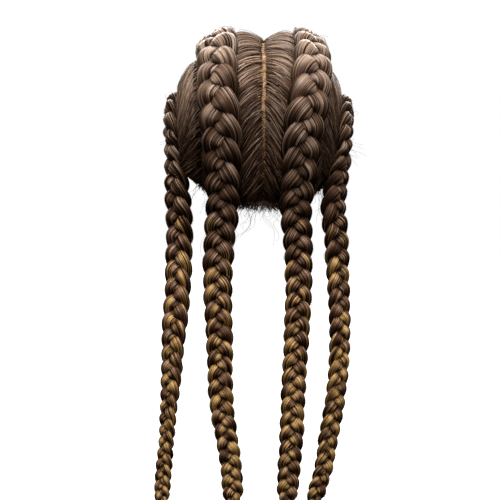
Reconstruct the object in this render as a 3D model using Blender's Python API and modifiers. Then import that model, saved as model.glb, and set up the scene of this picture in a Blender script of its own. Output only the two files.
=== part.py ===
"""A wig of four plaits, in the form that it has on a head.

The face looks along -Y, +Z is up and +X is the wearer's left. The origin is the crown of the hollow, where
the head's top sits. The pieces are the net cap, four sections of combed hair that lie on it between the
partings, three strands for each plait and the small band that ties each plait's end.
"""

import math
from bisect import bisect
from collections import namedtuple

import bmesh
import bpy
from mathutils import Vector
from mathutils.bvhtree import BVHTree

# The hollow: a rounded form about a centre at ear height.
HEAD_HALF_WIDTH = 0.078
HEAD_HALF_LENGTH = 0.096
CROWN_HEIGHT = 0.100
NAPE_REACH = 0.105
HEAD_SQUARENESS = 2.4

# Net cap and hair on it.
CAP_WALL = 0.0012
CLEARANCE = 0.0012
HAIRLINE_INSET = 2.0
PARTING_WIDTH = 0.0030
PARTING_HAIR = 0.0012
BED_HAIR = 0.0016
FLANK_HAIR = 0.0060
PUFFED_HAIR = 0.0090
FLANK_CLEARANCE = 0.0034
# Shares of a plait's half bed that its bed's sides take, and of the hair's full height at a section's first row.
BED_SIDE_SHARE = 0.17
EDGE_THINNING = 0.25
# The least distance, in degrees, from a parting to a plait's bed.
LEAST_FLANK = 2.0

# Plaits.
INNER_BRAID_WIDTH = 0.044
OUTER_BRAID_WIDTH = 0.029
HANGING_FLATNESS = 0.62
HANG_LENGTH = 0.330
TUFT_LENGTH = 0.018
TUFT_WIDTH = 0.011
TUFT_SWELLING = 1.5
GATHER_LENGTH = 0.018
TIP_WIDTH = 0.008

# End bands.
TIE_GRIP = 0.0080
TIE_THICKNESS = 0.0018
TIE_CLEARANCE = 0.0005
TIE_SIDES = 10
TIE_WALL_SIDES = 4

# The weave, in widths of the plait: a strand's middle swings from side to side once in a turn and to and fro
# in depth twice. It is worked out for this thickness and length of turn, and then stretched to each plait.
SIDE_SWING = 0.25
DEPTH_SWING = 0.14
WEAVE_THICKNESS = 0.60
WEAVE_TURN = 1.76
STRANDS = ("a", "b", "c")
STEPS_PER_TURN = 9
FIRST_PHASE = 30.0
SAMPLES_PER_STOP = 24

# A strand's corners reach out from its middle by shares of the plait's half width and half thickness. They
# grow from the first of these as far as the strands leave each other room, and a little is then taken off.
FIRST_REACH = 0.08
LARGEST_REACH = 0.92
FIRST_GROWTH = 0.05
LAST_GROWTH = 0.01
STRAND_FIT = 0.92

CAP_ROWS = 10

# Directions from the head's centre: side_angle leans from the middle plane to the ear, and back_angle turns
# from the face (0) over the crown (90) to the back (180) and the nape.
EdgeStop = namedtuple("EdgeStop", "side_angle front_angle back_angle")
CAP_EDGE = (
    EdgeStop(0, 30, 221),
    EdgeStop(19, 31, 221),
    EdgeStop(36, 33, 220),
    EdgeStop(44, 31, 220),
    EdgeStop(52, 24, 220),
    EdgeStop(63, 2, 216),
    EdgeStop(74, -21, 205),
    EdgeStop(85, -5, 185),
)

# The parting between an inner and an outer plait.
PartingStop = namedtuple("PartingStop", "back_angle side_angle")
SIDE_PARTING = (
    PartingStop(30, 48),
    PartingStop(95, 43),
    PartingStop(170, 43),
    PartingStop(222, 42),
)

# A plait's way over the scalp; width is a share of the plait's full width, lift is the hair padded under it.
ScalpStop = namedtuple("ScalpStop", "side_angle back_angle width lift")
# Its way below the nape: drop is a share of HANG_LENGTH below the nape edge, side of HEAD_HALF_WIDTH, back of
# HEAD_HALF_LENGTH, width of the full width; turn is how far its face turns outwards from straight back.
HangStop = namedtuple("HangStop", "drop side back width turn")

INNER_LEFT = (
    ScalpStop(19, 35, 0.38, 0.000),
    ScalpStop(21, 50, 0.60, 0.000),
    ScalpStop(23, 70, 0.84, 0.000),
    ScalpStop(24, 92, 0.98, 0.000),
    ScalpStop(23, 122, 1.02, 0.000),
    ScalpStop(23, 152, 1.00, 0.000),
    ScalpStop(22, 178, 0.94, 0.000),
    ScalpStop(21, 198, 0.86, 0.000),
    HangStop(0.00, 0.52, 0.95, 0.76, 6),
    HangStop(0.14, 0.57, 0.93, 0.72, 4),
    HangStop(0.28, 0.58, 0.95, 0.67, 2),
    HangStop(0.43, 0.56, 1.00, 0.62, 0),
    HangStop(0.61, 0.54, 1.03, 0.57, 2),
    HangStop(0.71, 0.48, 1.04, 0.53, 4),
    HangStop(0.81, 0.41, 1.03, 0.50, 4),
    HangStop(0.94, 0.38, 1.02, 0.48, 2),
    HangStop(1.00, 0.38, 1.01, 0.46, 2),
)
INNER_RIGHT = (
    ScalpStop(20, 35, 0.38, 0.000),
    ScalpStop(23, 50, 0.58, 0.000),
    ScalpStop(26, 70, 0.78, 0.000),
    ScalpStop(27, 92, 0.90, 0.000),
    ScalpStop(27, 122, 0.97, 0.000),
    ScalpStop(25, 152, 1.00, 0.000),
    ScalpStop(22, 178, 0.93, 0.000),
    ScalpStop(20, 198, 0.84, 0.000),
    HangStop(0.00, 0.44, 0.96, 0.74, 6),
    HangStop(0.14, 0.48, 0.93, 0.68, 6),
    HangStop(0.28, 0.48, 0.95, 0.62, 4),
    HangStop(0.43, 0.45, 1.00, 0.59, 2),
    HangStop(0.61, 0.41, 1.03, 0.57, 2),
    HangStop(0.71, 0.39, 1.04, 0.56, 2),
    HangStop(0.81, 0.36, 1.03, 0.53, 2),
    HangStop(0.94, 0.32, 1.02, 0.48, 2),
    HangStop(1.00, 0.31, 1.01, 0.46, 2),
)
OUTER_LEFT = (
    ScalpStop(58, 14, 0.50, 0.000),
    ScalpStop(62, 42, 0.72, 0.001),
    ScalpStop(65, 78, 0.84, 0.004),
    ScalpStop(66, 120, 0.90, 0.006),
    ScalpStop(66, 158, 0.92, 0.006),
    ScalpStop(65, 186, 0.96, 0.005),
    HangStop(-0.07, 1.13, 0.57, 1.00, 62),
    HangStop(0.05, 1.09, 0.63, 1.00, 46),
    HangStop(0.17, 1.10, 0.70, 0.98, 30),
    HangStop(0.29, 1.12, 0.78, 0.96, 20),
    HangStop(0.41, 1.17, 0.85, 0.86, 18),
    HangStop(0.54, 1.20, 0.89, 0.75, 26),
    HangStop(0.65, 1.24, 0.91, 0.66, 40),
    HangStop(0.73, 1.26, 0.91, 0.62, 44),
    HangStop(0.83, 1.30, 0.91, 0.60, 26),
    HangStop(0.94, 1.33, 0.90, 0.58, 12),
    HangStop(1.00, 1.34, 0.90, 0.55, 12),
)
OUTER_RIGHT = (
    ScalpStop(58, 14, 0.50, 0.000),
    ScalpStop(62, 42, 0.72, 0.000),
    ScalpStop(64, 78, 0.82, 0.001),
    ScalpStop(63, 120, 0.86, 0.001),
    ScalpStop(61, 156, 0.88, 0.000),
    ScalpStop(58, 180, 0.92, 0.000),
    ScalpStop(55, 199, 0.94, 0.001),
    HangStop(0.00, 0.93, 0.79, 0.94, 54),
    HangStop(0.09, 0.94, 0.80, 0.91, 48),
    HangStop(0.18, 0.97, 0.80, 0.86, 42),
    HangStop(0.29, 1.01, 0.82, 0.80, 36),
    HangStop(0.41, 1.03, 0.86, 0.77, 32),
    HangStop(0.54, 1.00, 0.90, 0.75, 28),
    HangStop(0.65, 0.93, 0.92, 0.74, 24),
    HangStop(0.73, 0.87, 0.92, 0.72, 20),
    HangStop(0.83, 0.80, 0.92, 0.66, 16),
    HangStop(0.94, 0.65, 0.91, 0.62, 14),
    HangStop(1.00, 0.57, 0.90, 0.58, 14),
)

# A plait: turn is the length of one full round of the weave as a share of the width there, and scalp_depth
# is its thickness on the scalp as a share of the width; side_hair is the height of the hair beside it.
Plait = namedtuple("Plait", "name hand full_width turn scalp_depth side_hair stops")
PLAITS = (
    Plait("outer_left", 1, OUTER_BRAID_WIDTH, 1.95, 0.56, PUFFED_HAIR, OUTER_LEFT),
    Plait("inner_left", 1, INNER_BRAID_WIDTH, 1.76, 0.42, FLANK_HAIR, INNER_LEFT),
    Plait("inner_right", -1, INNER_BRAID_WIDTH, 1.76, 0.42, FLANK_HAIR, INNER_RIGHT),
    Plait("outer_right", -1, OUTER_BRAID_WIDTH, 1.95, 0.52, FLANK_HAIR, OUTER_RIGHT),
)

HAIR_COLOUR = (0.075, 0.045, 0.024, 1.0)
PLAIT_COLOUR = (0.150, 0.085, 0.034, 1.0)
NET_COLOUR = (0.420, 0.270, 0.170, 1.0)
BAND_COLOUR = (0.012, 0.010, 0.009, 1.0)


def clear_scene():
    for old in list(bpy.data.objects):
        bpy.data.objects.remove(old)


def finish_material(name, colour, roughness):
    """One plain finish, shared by the pieces that have it."""
    material = bpy.data.materials.new(name)
    material.use_nodes = True
    shader = material.node_tree.nodes["Principled BSDF"]
    shader.inputs["Base Color"].default_value = colour
    shader.inputs["Roughness"].default_value = roughness
    return material


def add_piece(name, points, faces, material, collection):
    """A closed mesh as one named object, with its faces turned outwards."""
    mesh = bpy.data.meshes.new(name)
    mesh.from_pydata([tuple(point) for point in points], [], faces)
    shape = bmesh.new()
    shape.from_mesh(mesh)
    bmesh.ops.recalc_face_normals(shape, faces=shape.faces)
    shape.to_mesh(mesh)
    shape.free()
    mesh.materials.append(material)
    piece = bpy.data.objects.new(name, mesh)
    collection.objects.link(piece)
    return piece


def signed_power(value, power):
    return math.copysign(abs(value) ** power, value)


def scalp_point(side_angle, back_angle, height=0.0):
    """The point above the hollow's surface in a direction from the head's centre, and the surface's normal."""
    side = math.radians(side_angle)
    back = math.radians(back_angle)
    direction = Vector((math.sin(side), -math.cos(side) * math.cos(back), math.cos(side) * math.sin(back)))
    reach = CROWN_HEIGHT if direction.z >= 0 else NAPE_REACH
    sizes = (HEAD_HALF_WIDTH, HEAD_HALF_LENGTH, reach)
    level = sum(abs(part / size) ** HEAD_SQUARENESS for part, size in zip(direction, sizes))
    surface = direction * level ** (-1.0 / HEAD_SQUARENESS)
    slopes = [signed_power(part / size, HEAD_SQUARENESS - 1) / size for part, size in zip(surface, sizes)]
    normal = Vector(slopes).normalized()
    return Vector((0, 0, -CROWN_HEIGHT)) + surface + normal * height, normal


def table_value(rows, place):
    """The value at a place in a table of (place, value) rows, straight between its rows."""
    if place <= rows[0][0]:
        return rows[0][1]
    for (low, first), (high, last) in zip(rows, rows[1:]):
        if place <= high:
            return first + (last - first) * (place - low) / (high - low)
    return rows[-1][1]


def edge_angles(side_angle):
    """Where the cap's edge runs in front and behind at this side angle."""
    side = abs(side_angle)
    front = table_value([(row.side_angle, row.front_angle) for row in CAP_EDGE], side)
    back = table_value([(row.side_angle, row.back_angle) for row in CAP_EDGE], side)
    return front, back


def smoothstep(share):
    share = min(max(share, 0.0), 1.0)
    return share * share * (3 - 2 * share)


def blend_stops(knots, values, place):
    """A smooth curve through values at knots, by cubic pieces whose slopes come from their neighbours."""
    last = len(knots) - 1
    index = max(i for i in range(last) if knots[i] <= place or i == 0)
    span = knots[index + 1] - knots[index]
    share = (place - knots[index]) / span

    def slope(i):
        before, after = max(i - 1, 0), min(i + 1, last)
        return (values[after] - values[before]) * (1.0 / (knots[after] - knots[before]))

    square, cube = share**2, share**3
    return (
        values[index] * (2 * cube - 3 * square + 1)
        + values[index + 1] * (3 * square - 2 * cube)
        + slope(index) * (span * (cube - 2 * square + share))
        + slope(index + 1) * (span * (cube - square))
    )


def bed_height():
    """Height of the thin hair that a plait lies on, above the hollow."""
    return CAP_WALL + CLEARANCE + BED_HAIR


def stop_place(plait, stop):
    """Middle, outward direction, width and thickness of a plait at one of its stops."""
    width = stop.width * plait.full_width
    if isinstance(stop, ScalpStop):
        thickness = width * plait.scalp_depth
        height = bed_height() + stop.lift + thickness / 2
        middle, outward = scalp_point(plait.hand * stop.side_angle, stop.back_angle, height)
        return middle, outward, width, thickness
    nape, _ = scalp_point(0, CAP_EDGE[0].back_angle)
    middle = Vector(
        (
            plait.hand * stop.side * HEAD_HALF_WIDTH,
            stop.back * HEAD_HALF_LENGTH,
            nape.z - stop.drop * HANG_LENGTH,
        )
    )
    turn = math.radians(stop.turn)
    outward = Vector((plait.hand * math.sin(turn), math.cos(turn), 0))
    return middle, outward, width, width * HANGING_FLATNESS


def plait_way(plait):
    """Closely spaced samples along a plait: distance, middle, outward, width and thickness."""
    places = [stop_place(plait, stop) for stop in plait.stops]
    knots = [0.0]
    for (before, *_), (after, *_) in zip(places, places[1:]):
        knots.append(knots[-1] + (after - before).length)
    count = SAMPLES_PER_STOP * (len(knots) - 1)
    samples = []
    distance = 0.0
    for i in range(count + 1):
        knot = knots[-1] * i / count
        middle, outward, width, thickness = (
            blend_stops(knots, [place[k] for place in places], knot) for k in range(4)
        )
        if samples:
            distance += (middle - samples[-1][1]).length
        samples.append((distance, middle, outward, width, thickness))
    return samples


def tied_size(size, to_end):
    """A width or thickness drawn in to the end band, and let out again in the tuft below it."""
    above_tie = to_end - TUFT_LENGTH
    if above_tie >= 0:
        return TIE_GRIP + (size - TIE_GRIP) * smoothstep(above_tie / GATHER_LENGTH)
    down_tuft = -above_tie / TUFT_LENGTH
    full = TIE_GRIP + (TUFT_WIDTH - TIE_GRIP) * math.sin(math.pi * min(down_tuft * TUFT_SWELLING, 1.0))
    return TIP_WIDTH + (full - TIP_WIDTH) * (1 - down_tuft**2)


def plait_phases(plait, samples):
    """The turns of weave, in whole steps at the end, from a plait's start to each of its samples."""
    shortest_turn = plait.turn * plait.stops[-1].width * plait.full_width
    turns = [0.0]
    for before, after in zip(samples, samples[1:]):
        turn_length = max(plait.turn * before[3], shortest_turn)
        turns.append(turns[-1] + (after[0] - before[0]) / turn_length)
    fit = round(turns[-1] * STEPS_PER_TURN) / STEPS_PER_TURN / turns[-1]
    return [turn * fit for turn in turns]


def plait_section(plait, samples, turns, turn):
    """Middle, sideways and outward directions, width and thickness of a plait after so many turns."""
    within = min(max(turn, 0.0), turns[-1])
    index = min(max(bisect(turns, within) - 1, 0), len(turns) - 2)
    share = (within - turns[index]) / (turns[index + 1] - turns[index])
    first, last = samples[index], samples[index + 1]
    distance, middle, outward, width, thickness = (a + (b - a) * share for a, b in zip(first, last))
    along = (last[1] - first[1]).normalized()
    outward = (outward - along * outward.dot(along)).normalized()
    across = along.cross(outward) * plait.hand
    middle += along * (turn - within) * plait.turn * TIE_GRIP
    to_end = samples[-1][0] - distance
    return middle, across, outward, tied_size(width, to_end), tied_size(thickness, to_end)


def strand_ring(step, reaches):
    """Corners of a strand's cross-section as side, depth and turns ahead, square to the way that it runs."""
    phase = math.radians(FIRST_PHASE + 360.0 * step / STEPS_PER_TURN)
    swing_slope = SIDE_SWING * math.cos(phase) * 2 * math.pi / WEAVE_TURN
    lean = math.hypot(1.0, swing_slope)
    corners = []
    for number, reach in enumerate(reaches[step % STEPS_PER_TURN]):
        angle = math.pi * (2 * number + 1) / 4
        sideways = reach * math.cos(angle) / 2
        side = SIDE_SWING * math.sin(phase) + sideways / lean
        depth = DEPTH_SWING / WEAVE_THICKNESS * math.sin(2 * phase) + reach * math.sin(angle) / 2
        ahead = -sideways * swing_slope / lean / WEAVE_TURN
        corners.append((side, depth, ahead))
    return corners


def strand_faces(rings):
    """Sides between four-cornered rings, all split the same way, and a flat cap on each end."""
    faces = []
    for first in range(0, (rings - 1) * 4, 4):
        for corner in range(4):
            a, b = first + corner, first + (corner + 1) % 4
            faces += [(a, a + 4, b), (b, a + 4, b + 4)]
    last = (rings - 1) * 4
    return faces + [(0, 1, 2, 3), (last + 3, last + 2, last + 1, last)]


def strands_clear(reaches):
    """Whether a strand of these reaches stays clear of the next one, which is the same a third of a turn on."""
    rings = 2 * STEPS_PER_TURN + 1
    trees = []
    for ahead in (0.0, 1.0 / len(STRANDS)):
        points = []
        for step in range(rings):
            for side, depth, lean in strand_ring(step, reaches):
                turn = step / STEPS_PER_TURN + lean + ahead
                points.append((side, depth * WEAVE_THICKNESS, turn * WEAVE_TURN))
        trees.append(BVHTree.FromPolygons(points, strand_faces(rings)))
    return not trees[0].overlap(trees[1])


def grow_reaches():
    """The fullest strand: its corners grow in turn, the shortest first, until the next strand is in the way."""
    reaches = [[FIRST_REACH] * 4 for _ in range(STEPS_PER_TURN)]
    growth = FIRST_GROWTH
    while growth > LAST_GROWTH:
        grown = 0
        corners = [(step, corner) for step in range(STEPS_PER_TURN) for corner in range(4)]
        for step, corner in sorted(corners, key=lambda place: reaches[place[0]][place[1]]):
            before = reaches[step][corner]
            reaches[step][corner] = before + growth
            side, depth, _ = strand_ring(step, reaches)[corner]
            inside = max(abs(side), abs(depth)) <= 0.5 and reaches[step][corner] <= LARGEST_REACH
            if inside and strands_clear(reaches):
                grown += 1
            else:
                reaches[step][corner] = before
        if grown < 2:
            growth /= 2
    return [[reach * STRAND_FIT for reach in corners] for corners in reaches]


def make_strand(plait, strand, reaches, samples, turns, material, collection):
    """One of a plait's three strands, from the hairline to the tip."""
    steps = round(turns[-1] * STEPS_PER_TURN)
    points = []
    for step in range(steps + 1):
        weave_step = step + strand * STEPS_PER_TURN // len(STRANDS)
        for side, depth, ahead in strand_ring(weave_step, reaches):
            middle, across, outward, width, thickness = plait_section(
                plait, samples, turns, step / STEPS_PER_TURN + ahead
            )
            points.append(middle + across * side * width + outward * depth * thickness)
    faces = strand_faces(steps + 1)
    return add_piece(f"braid_{plait.name}_strand_{STRANDS[strand]}", points, faces, material, collection)


def make_tie(plait, samples, turns, material, collection):
    """The small band round a plait, a tuft's length above its tip."""
    tied = min(range(len(samples)), key=lambda i: abs(samples[-1][0] - samples[i][0] - TUFT_LENGTH))
    middle, across, outward, width, thickness = plait_section(plait, samples, turns, turns[tied])
    bpy.ops.mesh.primitive_torus_add(
        major_segments=TIE_SIDES,
        minor_segments=TIE_WALL_SIDES,
        major_radius=math.hypot(width, thickness) / 2 + TIE_CLEARANCE + TIE_THICKNESS / 2,
        minor_radius=TIE_THICKNESS / 2,
        location=middle,
        rotation=across.cross(outward).to_track_quat("Z", "Y").to_euler(),
    )
    tie = bpy.context.active_object
    tie.name = f"end_tie_{plait.name}"
    tie.data.materials.append(material)
    for holder in list(tie.users_collection):
        holder.objects.unlink(tie)
    collection.objects.link(tie)
    return tie


def make_cap(material, collection):
    """The net cap: an open dome of one thin wall, notched over each ear."""
    half = [row.side_angle for row in CAP_EDGE]
    columns = [-angle for angle in reversed(half[1:])] + half
    points, faces = [], []
    for row in range(CAP_ROWS + 1):
        for side_angle in columns:
            front, back = edge_angles(side_angle)
            back_angle = front + (back - front) * row / CAP_ROWS
            points.append(scalp_point(side_angle, back_angle)[0])
    width = len(columns)
    for row in range(CAP_ROWS):
        for column in range(width - 1):
            a = row * width + column
            faces.append((a, a + 1, a + width + 1, a + width))
    cap = add_piece("net_cap", points, faces, material, collection)
    wall = cap.modifiers.new("wall", "SOLIDIFY")
    wall.thickness = CAP_WALL
    wall.offset = 1.0 if outward_facing(cap.data) else -1.0
    return cap


def outward_facing(mesh):
    """Whether an open dome's faces point away from the head's centre."""
    centre = Vector((0, 0, -CROWN_HEIGHT))
    return sum(face.normal.dot(face.center - centre) * face.area for face in mesh.polygons) > 0


def plait_bed(plait, back_angle):
    """A plait's side angle, the half width of its bed in degrees and the hair padded under it, at this turn."""
    scalp = [stop for stop in plait.stops if isinstance(stop, ScalpStop)]
    side_angle, width, lift = (
        table_value([(stop.back_angle, getattr(stop, column)) for stop in scalp], back_angle)
        for column in ("side_angle", "width", "lift")
    )
    surface, _ = scalp_point(side_angle, back_angle)
    radius = (surface - Vector((0, 0, -CROWN_HEIGHT))).length
    half_bed = width * plait.full_width / 2 + FLANK_CLEARANCE
    return side_angle, math.degrees(half_bed / radius), lift


def along_scalp(side_angle, share):
    """The back angle at this share of the way from the front edge to the nape edge."""
    front, back = edge_angles(side_angle)
    return front + (back - front) * share


def section_columns(plait, share):
    """Side angles and hair heights across a section: parting, slope, flank, bed, flank, slope, parting."""
    half_parting = math.degrees(PARTING_WIDTH / 2 / HEAD_HALF_LENGTH)
    parting = table_value(SIDE_PARTING, along_scalp(SIDE_PARTING[0].side_angle, share))
    if plait.full_width == INNER_BRAID_WIDTH:
        low, high = half_parting, parting - half_parting
    else:
        low, high = parting + half_parting, CAP_EDGE[-1].side_angle - HAIRLINE_INSET / 2
    middle, half_bed, lift = plait_bed(plait, along_scalp(plait.stops[2].side_angle, share))
    low_flank = max(middle - half_bed, low + LEAST_FLANK)
    high_flank = min(middle + half_bed, high - LEAST_FLANK)
    flank_step = half_bed * BED_SIDE_SHARE
    flank = FLANK_HAIR + lift
    low_rise = plait.side_hair + lift
    bed = BED_HAIR + lift
    return (
        (low, PARTING_HAIR),
        ((low + low_flank) / 2, (low_rise * 2 + PARTING_HAIR) / 3),
        (low_flank, low_rise),
        (low_flank + flank_step, bed),
        ((low_flank + high_flank) / 2, bed),
        (high_flank - flank_step, bed),
        (high_flank, flank),
        ((high_flank + high) / 2, (flank + PARTING_HAIR) / 2),
        (high, PARTING_HAIR),
    )


def make_section(plait, material, collection):
    """The hair combed to one plait, from parting to parting, with a bed that the plait lies in.

    Its rows are those of the cap, so that the two lie alike, apart from the first and last, which are drawn in.
    """
    floor = CAP_WALL + CLEARANCE
    points = []
    for row in range(CAP_ROWS + 1):
        share = row / CAP_ROWS
        inset = {0: HAIRLINE_INSET, CAP_ROWS: -HAIRLINE_INSET}.get(row, 0.0)
        thin = min(1.0, EDGE_THINNING + 2 * min(share, 1 - share))
        for side_angle, hair in section_columns(plait, share):
            back_angle = along_scalp(side_angle, share) + inset
            points.append(scalp_point(plait.hand * side_angle, back_angle, floor)[0])
            points.append(scalp_point(plait.hand * side_angle, back_angle, floor + hair * thin)[0])
    faces = sheet_faces(CAP_ROWS + 1, len(section_columns(plait, 0.0)))
    return add_piece(f"hair_section_{plait.name}", points, faces, material, collection)


def sheet_faces(rows, columns):
    """Faces of a thick sheet whose points alternate below and above, row by row."""

    def point(row, column, above):
        return 2 * (row * columns + column) + above

    faces = []
    for row in range(rows - 1):
        for column in range(columns - 1):
            for above in (0, 1):
                faces.append(
                    (
                        point(row, column, above),
                        point(row, column + 1, above),
                        point(row + 1, column + 1, above),
                        point(row + 1, column, above),
                    )
                )
    for row in range(rows - 1):
        for column in (0, columns - 1):
            faces.append(
                (point(row, column, 0), point(row + 1, column, 0), point(row + 1, column, 1), point(row, column, 1))
            )
    for column in range(columns - 1):
        for row in (0, rows - 1):
            faces.append(
                (point(row, column, 0), point(row, column + 1, 0), point(row, column + 1, 1), point(row, column, 1))
            )
    return faces


def main():
    clear_scene()
    wig = bpy.data.collections.new("braid_wig")
    bpy.context.scene.collection.children.link(wig)
    net = finish_material("lace_net", NET_COLOUR, 0.8)
    scalp_hair = finish_material("scalp_hair", HAIR_COLOUR, 0.5)
    plait_hair = finish_material("plait_hair", PLAIT_COLOUR, 0.5)
    band = finish_material("end_band", BAND_COLOUR, 0.6)
    make_cap(net, wig)
    reaches = grow_reaches()
    for plait in PLAITS:
        samples = plait_way(plait)
        turns = plait_phases(plait, samples)
        make_section(plait, scalp_hair, wig)
        for strand in range(len(STRANDS)):
            make_strand(plait, strand, reaches, samples, turns, plait_hair, wig)
        make_tie(plait, samples, turns, band, wig)


main()
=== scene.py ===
"""Dresses a wig of four plaits: lace cap, combed hair, plaited strands, end bands and loose hairs.

The face looks along -Y, +Z is up, +X is the wearer's left, and the origin is the crown of the hollow.
"""

import math
from collections import namedtuple

import bpy
import numpy as np
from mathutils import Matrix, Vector


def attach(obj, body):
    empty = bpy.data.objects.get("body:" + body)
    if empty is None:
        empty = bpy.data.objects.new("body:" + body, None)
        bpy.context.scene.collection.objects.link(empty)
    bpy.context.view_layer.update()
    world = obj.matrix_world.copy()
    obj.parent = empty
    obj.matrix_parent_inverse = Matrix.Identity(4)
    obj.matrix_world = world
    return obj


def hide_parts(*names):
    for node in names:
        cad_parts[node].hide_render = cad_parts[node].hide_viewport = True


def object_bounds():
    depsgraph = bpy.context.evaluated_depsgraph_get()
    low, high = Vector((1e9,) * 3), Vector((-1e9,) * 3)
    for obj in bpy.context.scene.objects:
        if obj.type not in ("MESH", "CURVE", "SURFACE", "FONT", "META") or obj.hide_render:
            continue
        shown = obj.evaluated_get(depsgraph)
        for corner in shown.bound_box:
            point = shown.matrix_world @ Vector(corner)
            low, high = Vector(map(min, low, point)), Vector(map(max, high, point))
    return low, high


bl_info = {
    "name": "Braid Wig",
    "version": (1, 0, 0),
    "blender": (4, 5, 0),
    "location": "3D View > Sidebar > Wig",
    "description": "Dresses the frame of a wig of four plaits with net, combed hair, strands and loose hairs",
    "category": "Object",
}

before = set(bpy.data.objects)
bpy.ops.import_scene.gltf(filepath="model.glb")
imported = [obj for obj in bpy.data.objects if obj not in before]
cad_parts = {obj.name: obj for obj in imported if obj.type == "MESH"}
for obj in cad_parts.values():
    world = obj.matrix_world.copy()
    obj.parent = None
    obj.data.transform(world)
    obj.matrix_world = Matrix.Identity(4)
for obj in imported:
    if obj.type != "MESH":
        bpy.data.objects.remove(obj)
CAD_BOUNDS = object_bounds()

MILLIMETRES = 1000

# The hollow: a rounded form about a centre at ear height, as in the frame.
HEAD_HALF_WIDTH = 0.078
HEAD_HALF_LENGTH = 0.096
CROWN_HEIGHT = 0.100
NAPE_REACH = 0.105
HEAD_SQUARENESS = 2.4
CAP_WALL = 0.0012
BED_HEIGHT = 0.0040

# The weave, in widths of the plait, as in the frame.
SIDE_SWING = 0.25
DEPTH_SWING = 0.14
WEAVE_THICKNESS = 0.60
WEAVE_TURN = 1.76
STRANDS = ("a", "b", "c")
STEPS_PER_TURN = 9
FIRST_PHASE = 30.0
SAMPLES_PER_STOP = 24
INNER_BRAID_WIDTH = 0.044
OUTER_BRAID_WIDTH = 0.029
HANGING_FLATNESS = 0.62
HANG_LENGTH = 0.330
TUFT_LENGTH = 0.018
TUFT_WIDTH = 0.011
GATHER_LENGTH = 0.018
TIP_WIDTH = 0.008
TIE_GRIP = 0.0080

# Directions from the head's centre: side_angle leans from the middle plane to the ear, and back_angle turns
# from the face (0) over the crown (90) to the back (180) and the nape.
EdgeStop = namedtuple("EdgeStop", "side_angle front_angle back_angle")
CAP_EDGE = (
    EdgeStop(0, 30, 221),
    EdgeStop(19, 31, 221),
    EdgeStop(36, 33, 220),
    EdgeStop(44, 31, 220),
    EdgeStop(52, 24, 220),
    EdgeStop(63, 2, 216),
    EdgeStop(74, -21, 205),
    EdgeStop(85, -5, 185),
)

# The parting between an inner and an outer plait.
PartingStop = namedtuple("PartingStop", "back_angle side_angle")
SIDE_PARTING = (
    PartingStop(30, 48),
    PartingStop(95, 43),
    PartingStop(170, 43),
    PartingStop(222, 42),
)

# A plait's way over the scalp; width is a share of the plait's full width, lift is the hair padded under it.
ScalpStop = namedtuple("ScalpStop", "side_angle back_angle width lift")
# Its way below the nape: drop is a share of HANG_LENGTH below the nape edge, side of HEAD_HALF_WIDTH, back of
# HEAD_HALF_LENGTH, width of the full width; turn is how far its face turns outwards from straight back.
HangStop = namedtuple("HangStop", "drop side back width turn")

INNER_LEFT = (
    ScalpStop(19, 35, 0.38, 0.000),
    ScalpStop(21, 50, 0.60, 0.000),
    ScalpStop(23, 70, 0.84, 0.002),
    ScalpStop(24, 92, 0.98, 0.002),
    ScalpStop(23, 122, 1.02, 0.000),
    ScalpStop(23, 152, 1.00, 0.000),
    ScalpStop(22, 178, 0.94, 0.000),
    ScalpStop(21, 198, 0.86, 0.000),
    HangStop(0.00, 0.52, 0.95, 0.76, 6),
    HangStop(0.14, 0.57, 0.93, 0.72, 4),
    HangStop(0.28, 0.58, 0.95, 0.67, 2),
    HangStop(0.43, 0.56, 1.00, 0.62, 0),
    HangStop(0.61, 0.54, 1.03, 0.57, 2),
    HangStop(0.71, 0.48, 1.04, 0.53, 4),
    HangStop(0.81, 0.41, 1.03, 0.50, 4),
    HangStop(0.94, 0.38, 1.02, 0.48, 2),
    HangStop(1.00, 0.38, 1.01, 0.46, 2),
)
INNER_RIGHT = (
    ScalpStop(20, 35, 0.38, 0.000),
    ScalpStop(22, 50, 0.58, 0.001),
    ScalpStop(24, 70, 0.76, 0.006),
    ScalpStop(24.5, 92, 0.86, 0.005),
    ScalpStop(26, 122, 0.97, 0.001),
    ScalpStop(25, 152, 1.00, 0.000),
    ScalpStop(22, 178, 0.93, 0.000),
    ScalpStop(20, 198, 0.84, 0.000),
    HangStop(0.00, 0.44, 0.96, 0.74, 6),
    HangStop(0.14, 0.48, 0.93, 0.68, 6),
    HangStop(0.28, 0.48, 0.95, 0.62, 4),
    HangStop(0.43, 0.45, 1.00, 0.59, 2),
    HangStop(0.61, 0.41, 1.03, 0.57, 2),
    HangStop(0.71, 0.39, 1.04, 0.56, 2),
    HangStop(0.81, 0.36, 1.03, 0.53, 2),
    HangStop(0.94, 0.32, 1.02, 0.48, 2),
    HangStop(1.00, 0.31, 1.01, 0.46, 2),
)
OUTER_LEFT = (
    ScalpStop(58, 14, 0.50, 0.000),
    ScalpStop(62, 42, 0.72, 0.001),
    ScalpStop(65, 78, 0.84, 0.004),
    ScalpStop(66, 120, 0.90, 0.006),
    ScalpStop(66, 158, 0.92, 0.006),
    ScalpStop(65, 186, 0.96, 0.005),
    HangStop(-0.07, 1.13, 0.57, 1.00, 56),
    HangStop(0.05, 1.09, 0.63, 1.00, 34),
    HangStop(0.17, 1.10, 0.70, 0.98, 22),
    HangStop(0.29, 1.12, 0.78, 0.96, 20),
    HangStop(0.41, 1.17, 0.85, 0.86, 18),
    HangStop(0.54, 1.20, 0.89, 0.75, 26),
    HangStop(0.65, 1.24, 0.91, 0.66, 40),
    HangStop(0.73, 1.26, 0.91, 0.62, 44),
    HangStop(0.83, 1.30, 0.91, 0.60, 26),
    HangStop(0.94, 1.33, 0.90, 0.58, 12),
    HangStop(1.00, 1.34, 0.90, 0.55, 12),
)
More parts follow.
